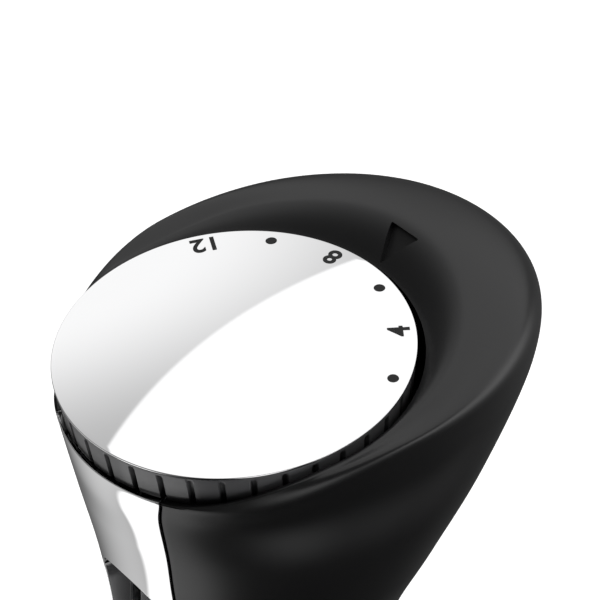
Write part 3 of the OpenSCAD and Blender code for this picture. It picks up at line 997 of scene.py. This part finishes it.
@dataclass
class SpeedDial:
    """The domed steel cap with its printed scale, and the notched thumb wheel under it."""

    dome: float = 10.0
    cap: float = 0.5
    notches: int = 36
    step: float = 12.0
    shown: int = 7
    digit_height: float = 3.1

    def dome_height(self, radius: Array | float) -> Array:
        """Returns the cap's height at a radius: a ball of dome dial radii, level with the edge."""
        ball = self.dome * DIAL.radius
        top = ball - math.sqrt(ball ** 2 - DIAL.radius ** 2)
        return np.sqrt(ball ** 2 - np.asarray(radius, float) ** 2) - ball + top

    def face(self) -> bpy.types.Object:
        """Makes the cap: a shallow dome whose rim rolls over into a short edge."""
        edge = DIAL.radius
        roll = 0.1
        radii = np.linspace(0, edge - roll, 40)
        rows = [(r, float(self.dome_height(r))) for r in radii]
        level = float(self.dome_height(edge - roll))
        for bend in np.linspace(0, math.pi / 2, 7)[1:]:
            rows.append((edge - roll + roll * math.sin(bend), level - roll + roll * math.cos(bend)))
        rows += [(edge, -0.22), (edge - 0.08, -0.3), (edge - 0.5, -0.32), (edge - 0.6, -self.cap),
                 (0.0, -self.cap)]
        obj = revolved("dial_face", np.array(rows), closed=False, segments=256, place=DIAL.matrix())
        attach(obj, "dial")
        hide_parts("dial_cap")
        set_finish(obj, Slot.POLISHED.value)
        return obj

    def wheel(self) -> bpy.types.Object:
        """Makes the thumb wheel: a skirt that narrows downwards, cut by upright notches.

        The radius falls by the notch's depth where the cosine of notches times the angle is close
        to one, and only on the outer side below the upper edge.
        """
        edge = DIAL.radius
        top, low = -self.cap, -5.9
        corners = [(edge - 0.45, top, 0), (edge - 0.12, -0.42, 0.05), (edge - 0.85, low, 0.3),
                   (edge - 3.0, low, 0.2), (edge - 3.0, top - 2.5, 0.2), (14, top - 2.5, 0), (14, -7.5, 0),
                   (8, -7.5, 0), (8, -8.9, 0), (3, -8.9, 0), (3, top, 0)]
        outer = filleted(corners[:4], closed=False, steps=4)
        dense = [outer[0]]
        for a, b in zip(outer[:-1], outer[1:]):
            count = max(1, int(np.linalg.norm(b - a) / 0.35))
            dense += [mix(a, b, k) for k in np.linspace(0, 1, count + 1)[1:]]
        rest = np.array([c[:2] for c in corners[4:]])
        profile = np.vstack([np.array(dense), rest])
        skin = len(dense) / (len(profile) - 1)
        drop = profile[:, 1]

        def ripple(angle: Array, along: Array) -> Array:
            """Returns the notches' depth."""
            height = np.interp(along, np.linspace(0, 1, len(profile)), drop)
            wave = np.cos(angle * self.notches)
            groove = smooth((wave - 0.80) / 0.14)
            upright = smooth((-1.15 - height) / 0.2) * (along < skin - 0.02)
            return -0.9 * groove * upright

        obj = revolved("dial_wheel", profile, closed=True, segments=self.notches * 34,
                       place=DIAL.matrix(), ripple=ripple)
        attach(obj, "dial")
        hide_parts("dial_skirt")
        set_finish(obj, Slot.SKIRT.value)
        return obj

    def on_dome(self, flat: Array, lift: float) -> Array:
        """Returns flat dial-plane points laid on the dome, lifted by a film's thickness."""
        height = self.dome_height(np.hypot(flat[:, 0], flat[:, 1])) + lift
        return DIAL.point(flat[:, 0], flat[:, 1], height)

    def mark_angle(self, speed: int) -> float:
        """Returns a speed's direction on the dial, in radians from +X, as the dial rests."""
        return math.radians(90 + POINTER_TURN + (speed - self.shown) * self.step)

    def dot(self, speed: int) -> bpy.types.Object:
        """Makes one round dot of ink: rings of points on the dome round its middle."""
        angle = self.mark_angle(speed)
        middle = np.array([math.cos(angle), math.sin(angle)]) * 0.913 * DIAL.radius
        turn = np.linspace(0, TURN, 32, endpoint=False)
        circle = np.stack([np.cos(turn), np.sin(turn)], axis=-1)
        rings = [(0.0, 0.02), (0.35, 0.022), (0.7, 0.022), (0.79, 0.018), (0.81, -0.01), (0.0, -0.03)]
        points = np.stack([self.on_dome(middle + circle * r, lift) for r, lift in rings])
        obj = surface(f"mark_{speed:02d}", points, wrap_columns=True)
        return self.printed(obj)

    def digits(self, speed: int) -> bpy.types.Object:
        """Makes a printed number whose top points at the dial's centre."""
        words = bpy.data.curves.new(f"text_{speed}", "FONT")
        words.body = str(speed)
        words.align_x = "CENTER"
        words.align_y = "CENTER"
        words.size = 1.0
        words.offset = 0.022
        words.resolution_u = 8
        source = link(bpy.data.objects.new(f"text_{speed}", words))
        bpy.context.view_layer.update()
        shape = source.evaluated_get(bpy.context.evaluated_depsgraph_get())
        mesh = bpy.data.meshes.new_from_object(shape)
        bpy.data.objects.remove(source)
        flat = np.zeros(len(mesh.vertices) * 3)
        mesh.vertices.foreach_get("co", flat)
        flat = flat.reshape(-1, 3)[:, :2]
        low, high = flat.min(axis=0), flat.max(axis=0)
        flat = (flat - (low + high) / 2) * self.digit_height / (high[1] - low[1])
        angle = self.mark_angle(speed)
        radial = np.array([math.cos(angle), math.sin(angle)])
        sideways = np.array([math.sin(angle), -math.cos(angle)]) * -1.0
        middle = radial * 0.9025 * DIAL.radius
        laid = middle + flat[:, :1] * sideways - flat[:, 1:] * radial
        mesh.vertices.foreach_set("co", (self.on_dome(laid, 0.02) * MM).ravel())
        mesh.name = f"mark_{speed:02d}"
        obj = link(bpy.data.objects.new(f"mark_{speed:02d}", mesh))
        film = obj.modifiers.new("film", "SOLIDIFY")
        film.thickness = 0.05 * MM
        film.offset = 0
        applied(obj)
        return self.printed(obj)

    def printed(self, obj: bpy.types.Object) -> bpy.types.Object:
        """Puts a mark on the dial."""
        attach(obj, "dial")
        return obj

    def marks(self) -> list[bpy.types.Object]:
        """Makes the whole scale: numbers at every fourth speed and dots half way between."""
        numbers = [self.digits(speed) for speed in (4, 8, 12)]
        return numbers + [self.dot(speed) for speed in (2, 6, 10)]


# ---------------------------------------------------------------------------------------------
# Buttons
# ---------------------------------------------------------------------------------------------

@dataclass
class Buttons:
    """The two push buttons of the pocket and the two release buttons of the foot."""

    casing: Casing
    gap: float = 0.9
    face: float = -21.5
    back: float = -18.9
    split: float = 332.7
    split_gap: float = 0.6
    release_height: float = 193.0
    release_radius: float = 6.0

    def half_outline(self, upper: bool) -> Array:
        """Returns one button's outline: an arch on one end and a straight edge at the split."""
        half = self.casing.pocket_half - self.gap - 0.3
        turn = np.linspace(0, math.pi, 40)
        edge = self.split + (0.5 if upper else -0.5) * self.split_gap
        if upper:
            arch = np.stack([half * np.cos(turn), self.casing.pocket_high + half * np.sin(turn)], -1)
        else:
            arch = np.stack([-half * np.cos(turn), self.casing.pocket_low - half * np.sin(turn)], -1)
        side = arch[-1, 0]
        ends = filleted([(arch[-1, 0], arch[-1, 1], 0), (side, edge, 0.8), (-side, edge, 0.8),
                         (arch[0, 0], arch[0, 1], 0)], closed=False, steps=6)
        return resampled(np.vstack([arch, ends]), 220)

    def push(self, name: str, body: str, upper: bool) -> bpy.types.Object:
        """Makes one crowned push button."""
        obj = cushion(name, self.half_outline(upper), self.face, self.back, 0.35, 0.45)
        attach(obj, body)
        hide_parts(body)
        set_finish(obj, Slot.BUTTON.value)
        return obj

    def release(self, name: str, body: str, node: str, side: int) -> bpy.types.Object:
        """Makes one release button: a round face with a finger dish and fine grip ridges.

        The face's height over its side is a shallow bowl plus a wave that fades at the rim.
        """
        rows = [(0.0, 21.6), (3.0, 21.6), (3.0, 22.5), (5.7, 22.5), (6.0, 22.8)]
        radius = self.release_radius
        low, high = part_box(node)
        reach = max(abs(low.x), abs(high.x)) / MM
        for bend in np.linspace(0, math.pi / 2, 6):
            rows.append((radius - 0.5 + 0.5 * math.cos(bend), reach - 0.5 + 0.5 * math.sin(bend)))
        for r in np.linspace(radius - 0.9, 0, 30):
            bowl = 0.9 * (1 - (r / (radius - 0.9)) ** 2)
            ridge = 0.12 * math.sin(r * TURN / 1.2) * min(1.0, (radius - 0.9 - r) / 0.6)
            rows.append((r, reach - bowl + ridge))
        turn = Matrix.Translation(Vector((0, 0, self.release_height)))
        turn = turn @ Matrix.Rotation(side * math.pi / 2, 4, "Y")
        obj = revolved(name, np.array(rows), closed=False, segments=96, place=turn)
        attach(obj, body)
        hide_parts(node)
        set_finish(obj, Slot.RELEASE.value)
        return obj

    def build(self) -> list[bpy.types.Object]:
        """Makes all four buttons."""
        return [
            self.push("button_start", "start_button", True),
            self.push("button_turbo", "turbo_button", False),
            self.release("button_release_left", "release_left", "release_button_left", -1),
            self.release("button_release_right", "release_right", "release_button_right", 1),
        ]


# ---------------------------------------------------------------------------------------------
# Blending foot and collar
# ---------------------------------------------------------------------------------------------

@dataclass
class BlendingFoot:
    """The steel ring under the handle and the foot below it: collar, tube, bell and blade."""

    tube: float = 14.0
    steel: float = 1.4
    bell: float = 36.0
    window_radius: float = 7.0
    windows: int = 4
    rounding: float = 0.35
    blade_height: float = 17.0
    blade_thickness: float = 1.2
    blade_reach: float = 21.5
    blade_rise: float = 4.2

    def ring(self) -> bpy.types.Object:
        """Makes the bright ring at the handle's lower end with its socket."""
        corners = [(25.5, 174.8, 0.2), (25.5, 171.0, 0.3), (25.15, 170.6, 0.2), (25.15, 170.0, 0.2),
                   (17.6, 170.0, 0.3), (17.4, 184.0, 0), (7.0, 184.0, 0), (7.0, 187.0, 0),
                   (19.4, 187.0, 0.4), (19.4, 174.8, 0)]
        obj = revolved("handle_ring", filleted(corners, closed=True), closed=True, segments=224)
        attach(obj, "handle")
        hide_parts("coupling_collar")
        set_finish(obj, Slot.SATIN.value)
        return obj

    def collar(self) -> bpy.types.Object:
        """Makes the foot's black collar: a neck, a shoulder and a waist that flows into the tube."""
        waist = [(25.3 - 10.0 * float(smooth(k)), 160.0 - 32.0 * k) for k in np.linspace(0, 1, 22)]
        waist = [(max(r, self.tube + 1.5), z) for r, z in waist]
        outer = [(14.5, 182.0, 0), (17.0, 182.0, 0.5), (17.0, 178.6, 0.1), (16.4, 178.4, 0.1),
                 (16.4, 177.0, 0.1), (17.0, 176.8, 0.1), (17.0, 169.7, 0.2), (25.3, 169.7, 0.5)]
        inner = [(self.tube + 1.5, 128.0, 0.4), (self.tube + 0.05, 128.0, 0.2), (self.tube + 0.05, 150.0, 0),
                 (6.0, 150.0, 0), (6.0, 160.0, 0), (14.5, 160.0, 0)]
        corners = outer + [(r, z, 0.0) for r, z in waist[:-1]] + inner
        obj = revolved("foot_shoulder", filleted(corners, closed=True), closed=True, segments=192)
        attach(obj, "foot")
        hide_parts("foot_collar")
        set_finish(obj, Slot.FOOT.value)
        return obj

    def bell_profile(self) -> Array:
        """Returns the bell's wall: a quarter ellipse flare, a straight skirt and a rolled rim."""
        turn = np.linspace(0, math.pi / 2, 40)
        flare = [(self.tube + (self.bell - self.tube) * (1 - math.cos(a)), 60 - 38 * math.sin(a), 0)
                 for a in turn]
        flare[-1] = (self.bell, 22.0, 0)
        inside = [(r - self.steel * (0.25 + 0.75 * min(1, (r - self.tube) / 8)),
                   z - self.steel, 0) for r, z, _ in flare[::-1][1:-1]]
        corners = ([(self.tube - self.steel, 60.0, 0)] + flare[:-1] + [(self.bell, 21.0, 1.2)]
                   + [(self.bell, 0.0, 0.6), (self.bell - self.steel, 0.0, 0.6),
                      (self.bell - self.steel, 20.0, 1.2)]
                   + inside + [(self.tube - self.steel, 60 - self.steel, 0)])
        return filleted(corners, closed=True, steps=6)

    def bell_guard(self) -> bpy.types.Object:
        """Makes the bell and cuts its arched flow windows."""
        obj = revolved("bell", self.bell_profile(), closed=True, segments=224)
        radius = self.window_radius
        turn = np.linspace(0, math.pi, 24)
        arch = np.vstack([np.stack([radius * np.cos(turn), 4 + radius * np.sin(turn)], -1),
                          [[-radius, -3.0], [radius, -3.0]]])
        tools = []
        for i in range(self.windows):
            spin = Matrix.Rotation(i * TURN / self.windows, 4, "Z")
            lay = Matrix.Rotation(math.pi / 2, 4, "X")
            tools.append(prism(f"window_tool_{i}", arch, 25.0, 42.0, spin @ lay))
        cut(obj, tools)
        edge = obj.modifiers.new("edge", "BEVEL")
        edge.width = self.rounding * MM
        edge.segments = 3
        edge.limit_method = "ANGLE"
        edge.angle_limit = math.radians(50)
        applied(obj)
        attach(obj, "foot")
        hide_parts("bell_guard")
        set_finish(obj, Slot.SATIN.value)
        return obj

    def shaft(self) -> bpy.types.Object:
        """Makes the foot's steel tube, with a shallow rolled bead above the bell."""
        corners = [(self.tube, 149.9, 0), (self.tube, 75.0, 0.5), (self.tube - 0.35, 74.2, 0.5),
                   (self.tube, 73.4, 0.5), (self.tube, 60.0, 0), (self.tube - self.steel, 60.0, 0),
                   (self.tube - self.steel, 149.9, 0)]
        obj = revolved("foot_tube", filleted(corners, closed=True), closed=True, segments=192)
        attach(obj, "foot")
        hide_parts("shaft_tube")
        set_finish(obj, Slot.SATIN.value)
        return obj

    def blade(self) -> bpy.types.Object:
        """Makes the blade: four wings from a round hub, bent up and down in turn, ground thin.

        Along a wing, k runs from hub to tip: the width narrows, the height follows k^2 and the
        leading edge sweeps back. Across it the thickness falls to a cutting edge on the front side.
        """
        middle, thick = self.blade_height, self.blade_thickness
        pieces = []
        for i in range(4):
            rise = (1 if i % 2 == 0 else -1) * self.blade_rise
            k = np.linspace(0, 1, 24)[:, None]
            turn = np.linspace(0, TURN, 24, endpoint=False)[None, :]
            half = mix(4.0, 1.2, k ** 1.3)
            lead = np.cos(turn)
            x = mix(3.0, self.blade_reach, k) + 0 * turn
            y = lead * half - 2.6 * k ** 2
            grind = np.clip(0.5 + 0.5 * lead, 0, 1) ** 3
            z = np.sin(turn) * thick / 2 * (1 - 0.9 * grind) + rise * k ** 2 + middle + thick / 2
            points = np.stack([x, y, z], axis=-1)
            angle = i * math.pi / 2
            c, s = math.cos(angle), math.sin(angle)
            points = np.stack([c * points[..., 0] - s * points[..., 1],
                               s * points[..., 0] + c * points[..., 1], points[..., 2]], -1)
            caps = [points[:1].mean(axis=1, keepdims=True) + 0 * points[:1],
                    points[-1:].mean(axis=1, keepdims=True) + 0 * points[-1:]]
            pieces.append(surface(f"wing_{i}", np.concatenate([caps[0], points, caps[1]]), wrap_columns=True))
        hub = filleted([(2.5, middle, 0.1), (7.6, middle, 0.3), (7.6, middle + thick, 0.3),
                        (2.5, middle + thick, 0.1)], closed=True, steps=3)
        obj = revolved("blade_cutter", hub, closed=True, segments=64)
        for wing in pieces:
            step = obj.modifiers.new("join", "BOOLEAN")
            step.operation = "UNION"
            step.solver = "EXACT"
            step.object = wing
        applied(obj)
        for wing in pieces:
            bpy.data.objects.remove(wing)
        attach(obj, "foot_drive")
        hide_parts("blade")
        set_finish(obj, Slot.BLADE.value)
        return obj

    def build(self) -> list[bpy.types.Object]:
        """Makes the ring and every outer piece of the foot."""
        return [self.ring(), self.collar(), self.shaft(), self.bell_guard(), self.blade()]


# ---------------------------------------------------------------------------------------------
# Cord inlet
# ---------------------------------------------------------------------------------------------

@dataclass
class CordInlet:
    """The rubber gland at the back of the head, with its bore."""

    bore: float = 3.5

    def build(self) -> bpy.types.Object:
        """Makes the gland: a ribbed collar that stands out of the shell round a deep bore."""
        mount = next(m for m in frame["record"]["mounts"] if m["name"] == "cord_inlet")
        axis = unit(np.array(mount["axis"], float))
        side = np.array([1.0, 0, 0])
        across = np.cross(axis, side)
        full = np.eye(4)
        full[:3, :3] = np.column_stack([side, across, axis])
        full[:3, 3] = np.array(mount["pos_m"]) / MM
        reach = mount["dims"]["length_mm"] / 2
        corners = [(self.bore, -reach, 0.2), (5.4, -reach, 0.3), (5.4, reach - 3.0, 0),
                   (7.3, reach - 2.8, 0.4), (7.0, reach - 2.0, 0.2), (6.3, reach - 1.8, 0.2),
                   (6.3, reach - 1.3, 0.2), (6.6, reach - 1.1, 0.2), (6.2, reach - 0.1, 0.5),
                   (self.bore + 0.6, reach, 0.5), (self.bore, reach - 0.6, 0.3)]
        obj = revolved("cord_grommet", filleted(corners, closed=True), closed=True, segments=96,
                       place=Matrix(full.tolist()))
        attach(obj, "handle")
        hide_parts("cord_gland")
        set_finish(obj, Slot.RUBBER.value)
        return obj


# ---------------------------------------------------------------------------------------------
# Finishes
# ---------------------------------------------------------------------------------------------

def finishes() -> dict[Slot, bpy.types.Material]:
    """Returns the material of every slot."""
    recipes = {
        Slot.SHELL: Moulded("Soft touch black", (0.0085, 0.0085, 0.009), 0.36, grain=2.6, depth=0.003,
                            mottle=0.06),
        Slot.POLISHED: Polished("Polished steel", (0.93, 0.93, 0.935), 0.012),
        Slot.SATIN: Brushed("Satin steel", (0.62, 0.62, 0.63), 0.3),
        Slot.BLADE: Brushed("Ground steel", (0.66, 0.66, 0.68), 0.24, stretch=(1.0, 0.05, 1.0)),
        Slot.TURNED: Brushed("Turned steel", (0.55, 0.55, 0.57), 0.3, stretch=(0.05, 0.05, 1.0)),
        # The wheel's grey, with painted shade darkening its lower part.
        Slot.SKIRT: WheelGrey("Thumb wheel grey", (0.13, 0.13, 0.135), 0.32),
        Slot.BUTTON: Moulded("Button grey", (0.16, 0.16, 0.165), 0.28, grain=4, depth=0.003, coat=0.5),
        Slot.RELEASE: Moulded("Release grey", (0.06, 0.06, 0.063), 0.42, grain=3, depth=0.01),
        Slot.DARK: Moulded("Dark moulding", (0.008, 0.008, 0.009), 0.5, grain=2, depth=0.015),
        Slot.FOOT: Moulded("Foot black", (0.02, 0.02, 0.021), 0.38, grain=3, depth=0.008),
        Slot.COUPLER: Moulded("Coupler white", (0.62, 0.62, 0.6), 0.4),
        Slot.IVORY: Moulded("Terminal ivory", (0.6, 0.58, 0.5), 0.45),
        Slot.BLUE: Moulded("Component blue", (0.05, 0.12, 0.28), 0.35, coat=0.3),
        Slot.BOARD: CircuitGreen("Circuit green", (0.02, 0.15, 0.06), 0.35),
        Slot.RUBBER: Moulded("Black rubber", (0.018, 0.018, 0.018), 0.62, grain=1.6, depth=0.02, sheen=0.2),
        Slot.CARBON: Moulded("Pressed carbon", (0.03, 0.03, 0.033), 0.55, grain=6, depth=0.02),
        Slot.LAMINATION: Banded("Stacked sheet", (0.32, 0.32, 0.33), 0.42, pitch=0.5),
        Slot.COPPER_WIRE: Banded("Winding wire", (0.62, 0.25, 0.1), 0.3, pitch=0.6),
        Slot.COPPER_BAR: Banded("Copper bars", (0.72, 0.38, 0.2), 0.3, pitch=2.0),
        Slot.BRONZE: Brushed("Sintered bronze", (0.5, 0.33, 0.14), 0.42, stretch=(0.3, 0.3, 0.3)),
        Slot.ALUMINIUM: Brushed("Extruded aluminium", (0.66, 0.66, 0.68), 0.35),
    }
    return {slot: recipe.build() for slot, recipe in recipes.items()}


def dress(pieces: Sequence[bpy.types.Object], materials: dict[Slot, bpy.types.Material],
          ink: bpy.types.Material) -> None:
    """Gives every new piece and every CAD node its material."""
    slots = {s["node"]: Slot(s["material_slot"]) for s in frame["record"]["subparts"]}
    for name, node in frame["nodes"].items():
        node.data.materials.clear()
        node.data.materials.append(materials[slots[name]])
    for piece in pieces:
        piece.data.materials.clear()
        named = piece.get("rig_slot")
        piece.data.materials.append(materials[Slot(named)] if named else ink)
        LOG.info("%s: %d faces, %s", piece.name, len(piece.data.polygons), named or "ink")


# ---------------------------------------------------------------------------------------------
# Studio
# ---------------------------------------------------------------------------------------------

@dataclass(frozen=True)
class Glow:
    """One soft light in the studio's sky: a round patch round a direction."""

    azimuth: float
    elevation: float
    radius: float
    softness: float
    strength: float


@dataclass
class Studio:
    """The pale floor, the soft light round the blender and the camera.

    The glows light the casing's flank. The shade is where the light from below is kept off.
    """

    glows: tuple = (
        Glow(150, -8, 28, 22, 1.3),
        Glow(70, -24, 16, 14, 1.7),
        Glow(114, -15, 16, 14, 1.7),
    )
    softbox: Glow = Glow(-186.8, 59.9, 44.7, 0.3, 1.1)
    backlight: Glow = Glow(-150, 60, 50, 22, 0.4)
    strip: Glow = Glow(-108, 30, 14.5, 14, 0.5)
    card: Glow = Glow(-15, -60, 17, 3, 1.12)
    spill: Glow = Glow(-15, -60, 38, 44, 0.6)
    shade: Glow = Glow(90, -40, 70, 60, 1.0)
    sky: float = 0.12
    ground: float = 0.14
    view_azimuth: float = 53.88
    view_elevation: float = 38.43
    distance: float = 40.0
    lens: float = 442.15
    aim_right: float = 0.359
    aim_up: float = 0.284

    def world(self) -> None:
        """Lights the blender by direction, as a set of softboxes, cards and soft lights would.

        The softbox overhead has a crisp edge, and a strip light stands beside it, which gives a
        polished face its split of white and graded grey. A white card lies in front below.
        """
        world = bpy.data.worlds.new("Studio")
        world.use_nodes = True
        bpy.context.scene.world = world
        tree = Tree(world.node_tree)
        ray = tree.node("ShaderNodeTexCoord", output="Generated")

        def patch(glow: Glow) -> Field:
            """Returns 1 in the middle of a light and 0 outside it, by the ray's angle from it."""
            dot = tree.node("ShaderNodeVectorMath", {"operation": "DOT_PRODUCT"}, {
                0: ray, 1: tuple(direction(glow.azimuth, glow.elevation))}, output=1)
            angle = tree.node("ShaderNodeMath", {"operation": "ARCCOSINE"}, {0: dot}) * (180 / math.pi)
            return 1 - angle.above(glow.radius, glow.softness)

        overhead = tree.node("ShaderNodeSeparateXYZ", {}, {0: ray}, output=2).above(0.0, 0.4)
        box, card = patch(self.softbox), patch(self.card)
        sky = self.sky + self.backlight.strength * patch(self.backlight)
        sky = sky + self.strip.strength * patch(self.strip)
        upper = box * self.softbox.strength + (1 - box) * sky
        spill = (self.ground + self.spill.strength * patch(self.spill)) * (1 - patch(self.shade))
        lower = card * self.card.strength + (1 - card) * spill
        light = overhead * upper + (1 - overhead) * lower
        for glow in self.glows:
            light = light + patch(glow) * glow.strength
        shader = tree.node("ShaderNodeBackground", {}, {"Color": (1.0, 1.0, 1.0, 1.0), "Strength": light})
        tree.node("ShaderNodeOutputWorld", {}, {"Surface": shader})

    def floor(self) -> bpy.types.Object:
        """Makes a round pale floor whose far part curves up into a backdrop."""
        rows = [(0.0, 0.0)] + [(r, 0.0) for r in np.geomspace(60, 30000, 24)]
        for bend in np.linspace(0, math.pi / 2, 16)[1:]:
            rows.append((30000 + 8000 * math.sin(bend), 8000 * (1 - math.cos(bend))))
        rows.append((38000.0, 40000.0))
        turn = np.linspace(0, TURN, 128, endpoint=False)
        profile = np.array(rows)
        points = np.stack([np.stack([r * np.cos(turn), r * np.sin(turn), np.full_like(turn, z)], -1)
                           for r, z in profile])
        points[..., 2] -= 0.05
        obj = surface("floor", points, wrap_columns=True)
        obj.data.flip_normals()
        obj.visible_glossy = False
        obj.visible_diffuse = False
        obj.visible_transmission = False
        obj.visible_shadow = False
        material = bpy.data.materials.new("Pale floor")
        material.use_nodes = True
        tree = Tree(material.node_tree)
        cloud = tree.noise(tree.place(), 0.004, 2)
        tone = tree.tint(cloud, (0.88, 0.88, 0.88), (0.92, 0.92, 0.92))
        shader = tree.node("ShaderNodeBsdfPrincipled", {}, {
            "Base Color": tone, "Roughness": 0.85, "Specular IOR Level": 0.1,
            "Emission Color": tone, "Emission Strength": 0.72})
        tree.node("ShaderNodeOutputMaterial", {}, {"Surface": shader})
        obj.data.materials.append(material)
        return obj

    def camera(self) -> None:
        """Puts the camera high at the right front of the head, looking just past the dial's centre."""
        radius = DIAL.radius
        back = direction(self.view_azimuth, self.view_elevation)
        a, e = math.radians(self.view_azimuth), math.radians(self.view_elevation)
        right = np.array([math.cos(a), math.sin(a), 0.0])
        up = np.array([-math.sin(a) * math.sin(e), math.cos(a) * math.sin(e), math.cos(e)])
        aim = DIAL.centre + radius * (self.aim_right * right + self.aim_up * up)
        place = (aim + back * self.distance * radius) * MM
        data = bpy.data.cameras.new("Camera")
        data.lens = self.lens
        data.sensor_width = 36.0
        data.clip_start = 0.01
        data.clip_end = 100.0
        cam = link(bpy.data.objects.new("Camera", data))
        matrix = np.eye(4)
        matrix[:3, :3] = np.column_stack([right, up, back])
        matrix[:3, 3] = place
        cam.matrix_world = Matrix(matrix.tolist())
        bpy.context.scene.camera = cam

    def build(self) -> None:
        """Makes the studio and sets plain colour handling."""
        self.world()
        self.floor()
        self.camera()
        bpy.context.scene.view_settings.view_transform = "Standard"


# ---------------------------------------------------------------------------------------------
# Assembly
# ---------------------------------------------------------------------------------------------

def main() -> None:
    """Builds the pieces in order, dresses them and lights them."""
    logging.basicConfig(level=logging.INFO, format="%(name)s: %(message)s")
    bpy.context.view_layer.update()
    casing = Casing(CasingForm())
    dial = SpeedDial()
    pieces = [casing.shell(), casing.panel(), casing.pocket(), casing.well()]
    pieces += [dial.face(), dial.wheel()] + dial.marks()
    pieces += Buttons(casing).build()
    pieces += BlendingFoot().build()
    pieces.append(CordInlet().build())
    dress(pieces, finishes(), Ink("Scale ink", (0.003, 0.003, 0.003), 0.6).build())
    Studio().build()


if __name__ == "__main__":
    main()
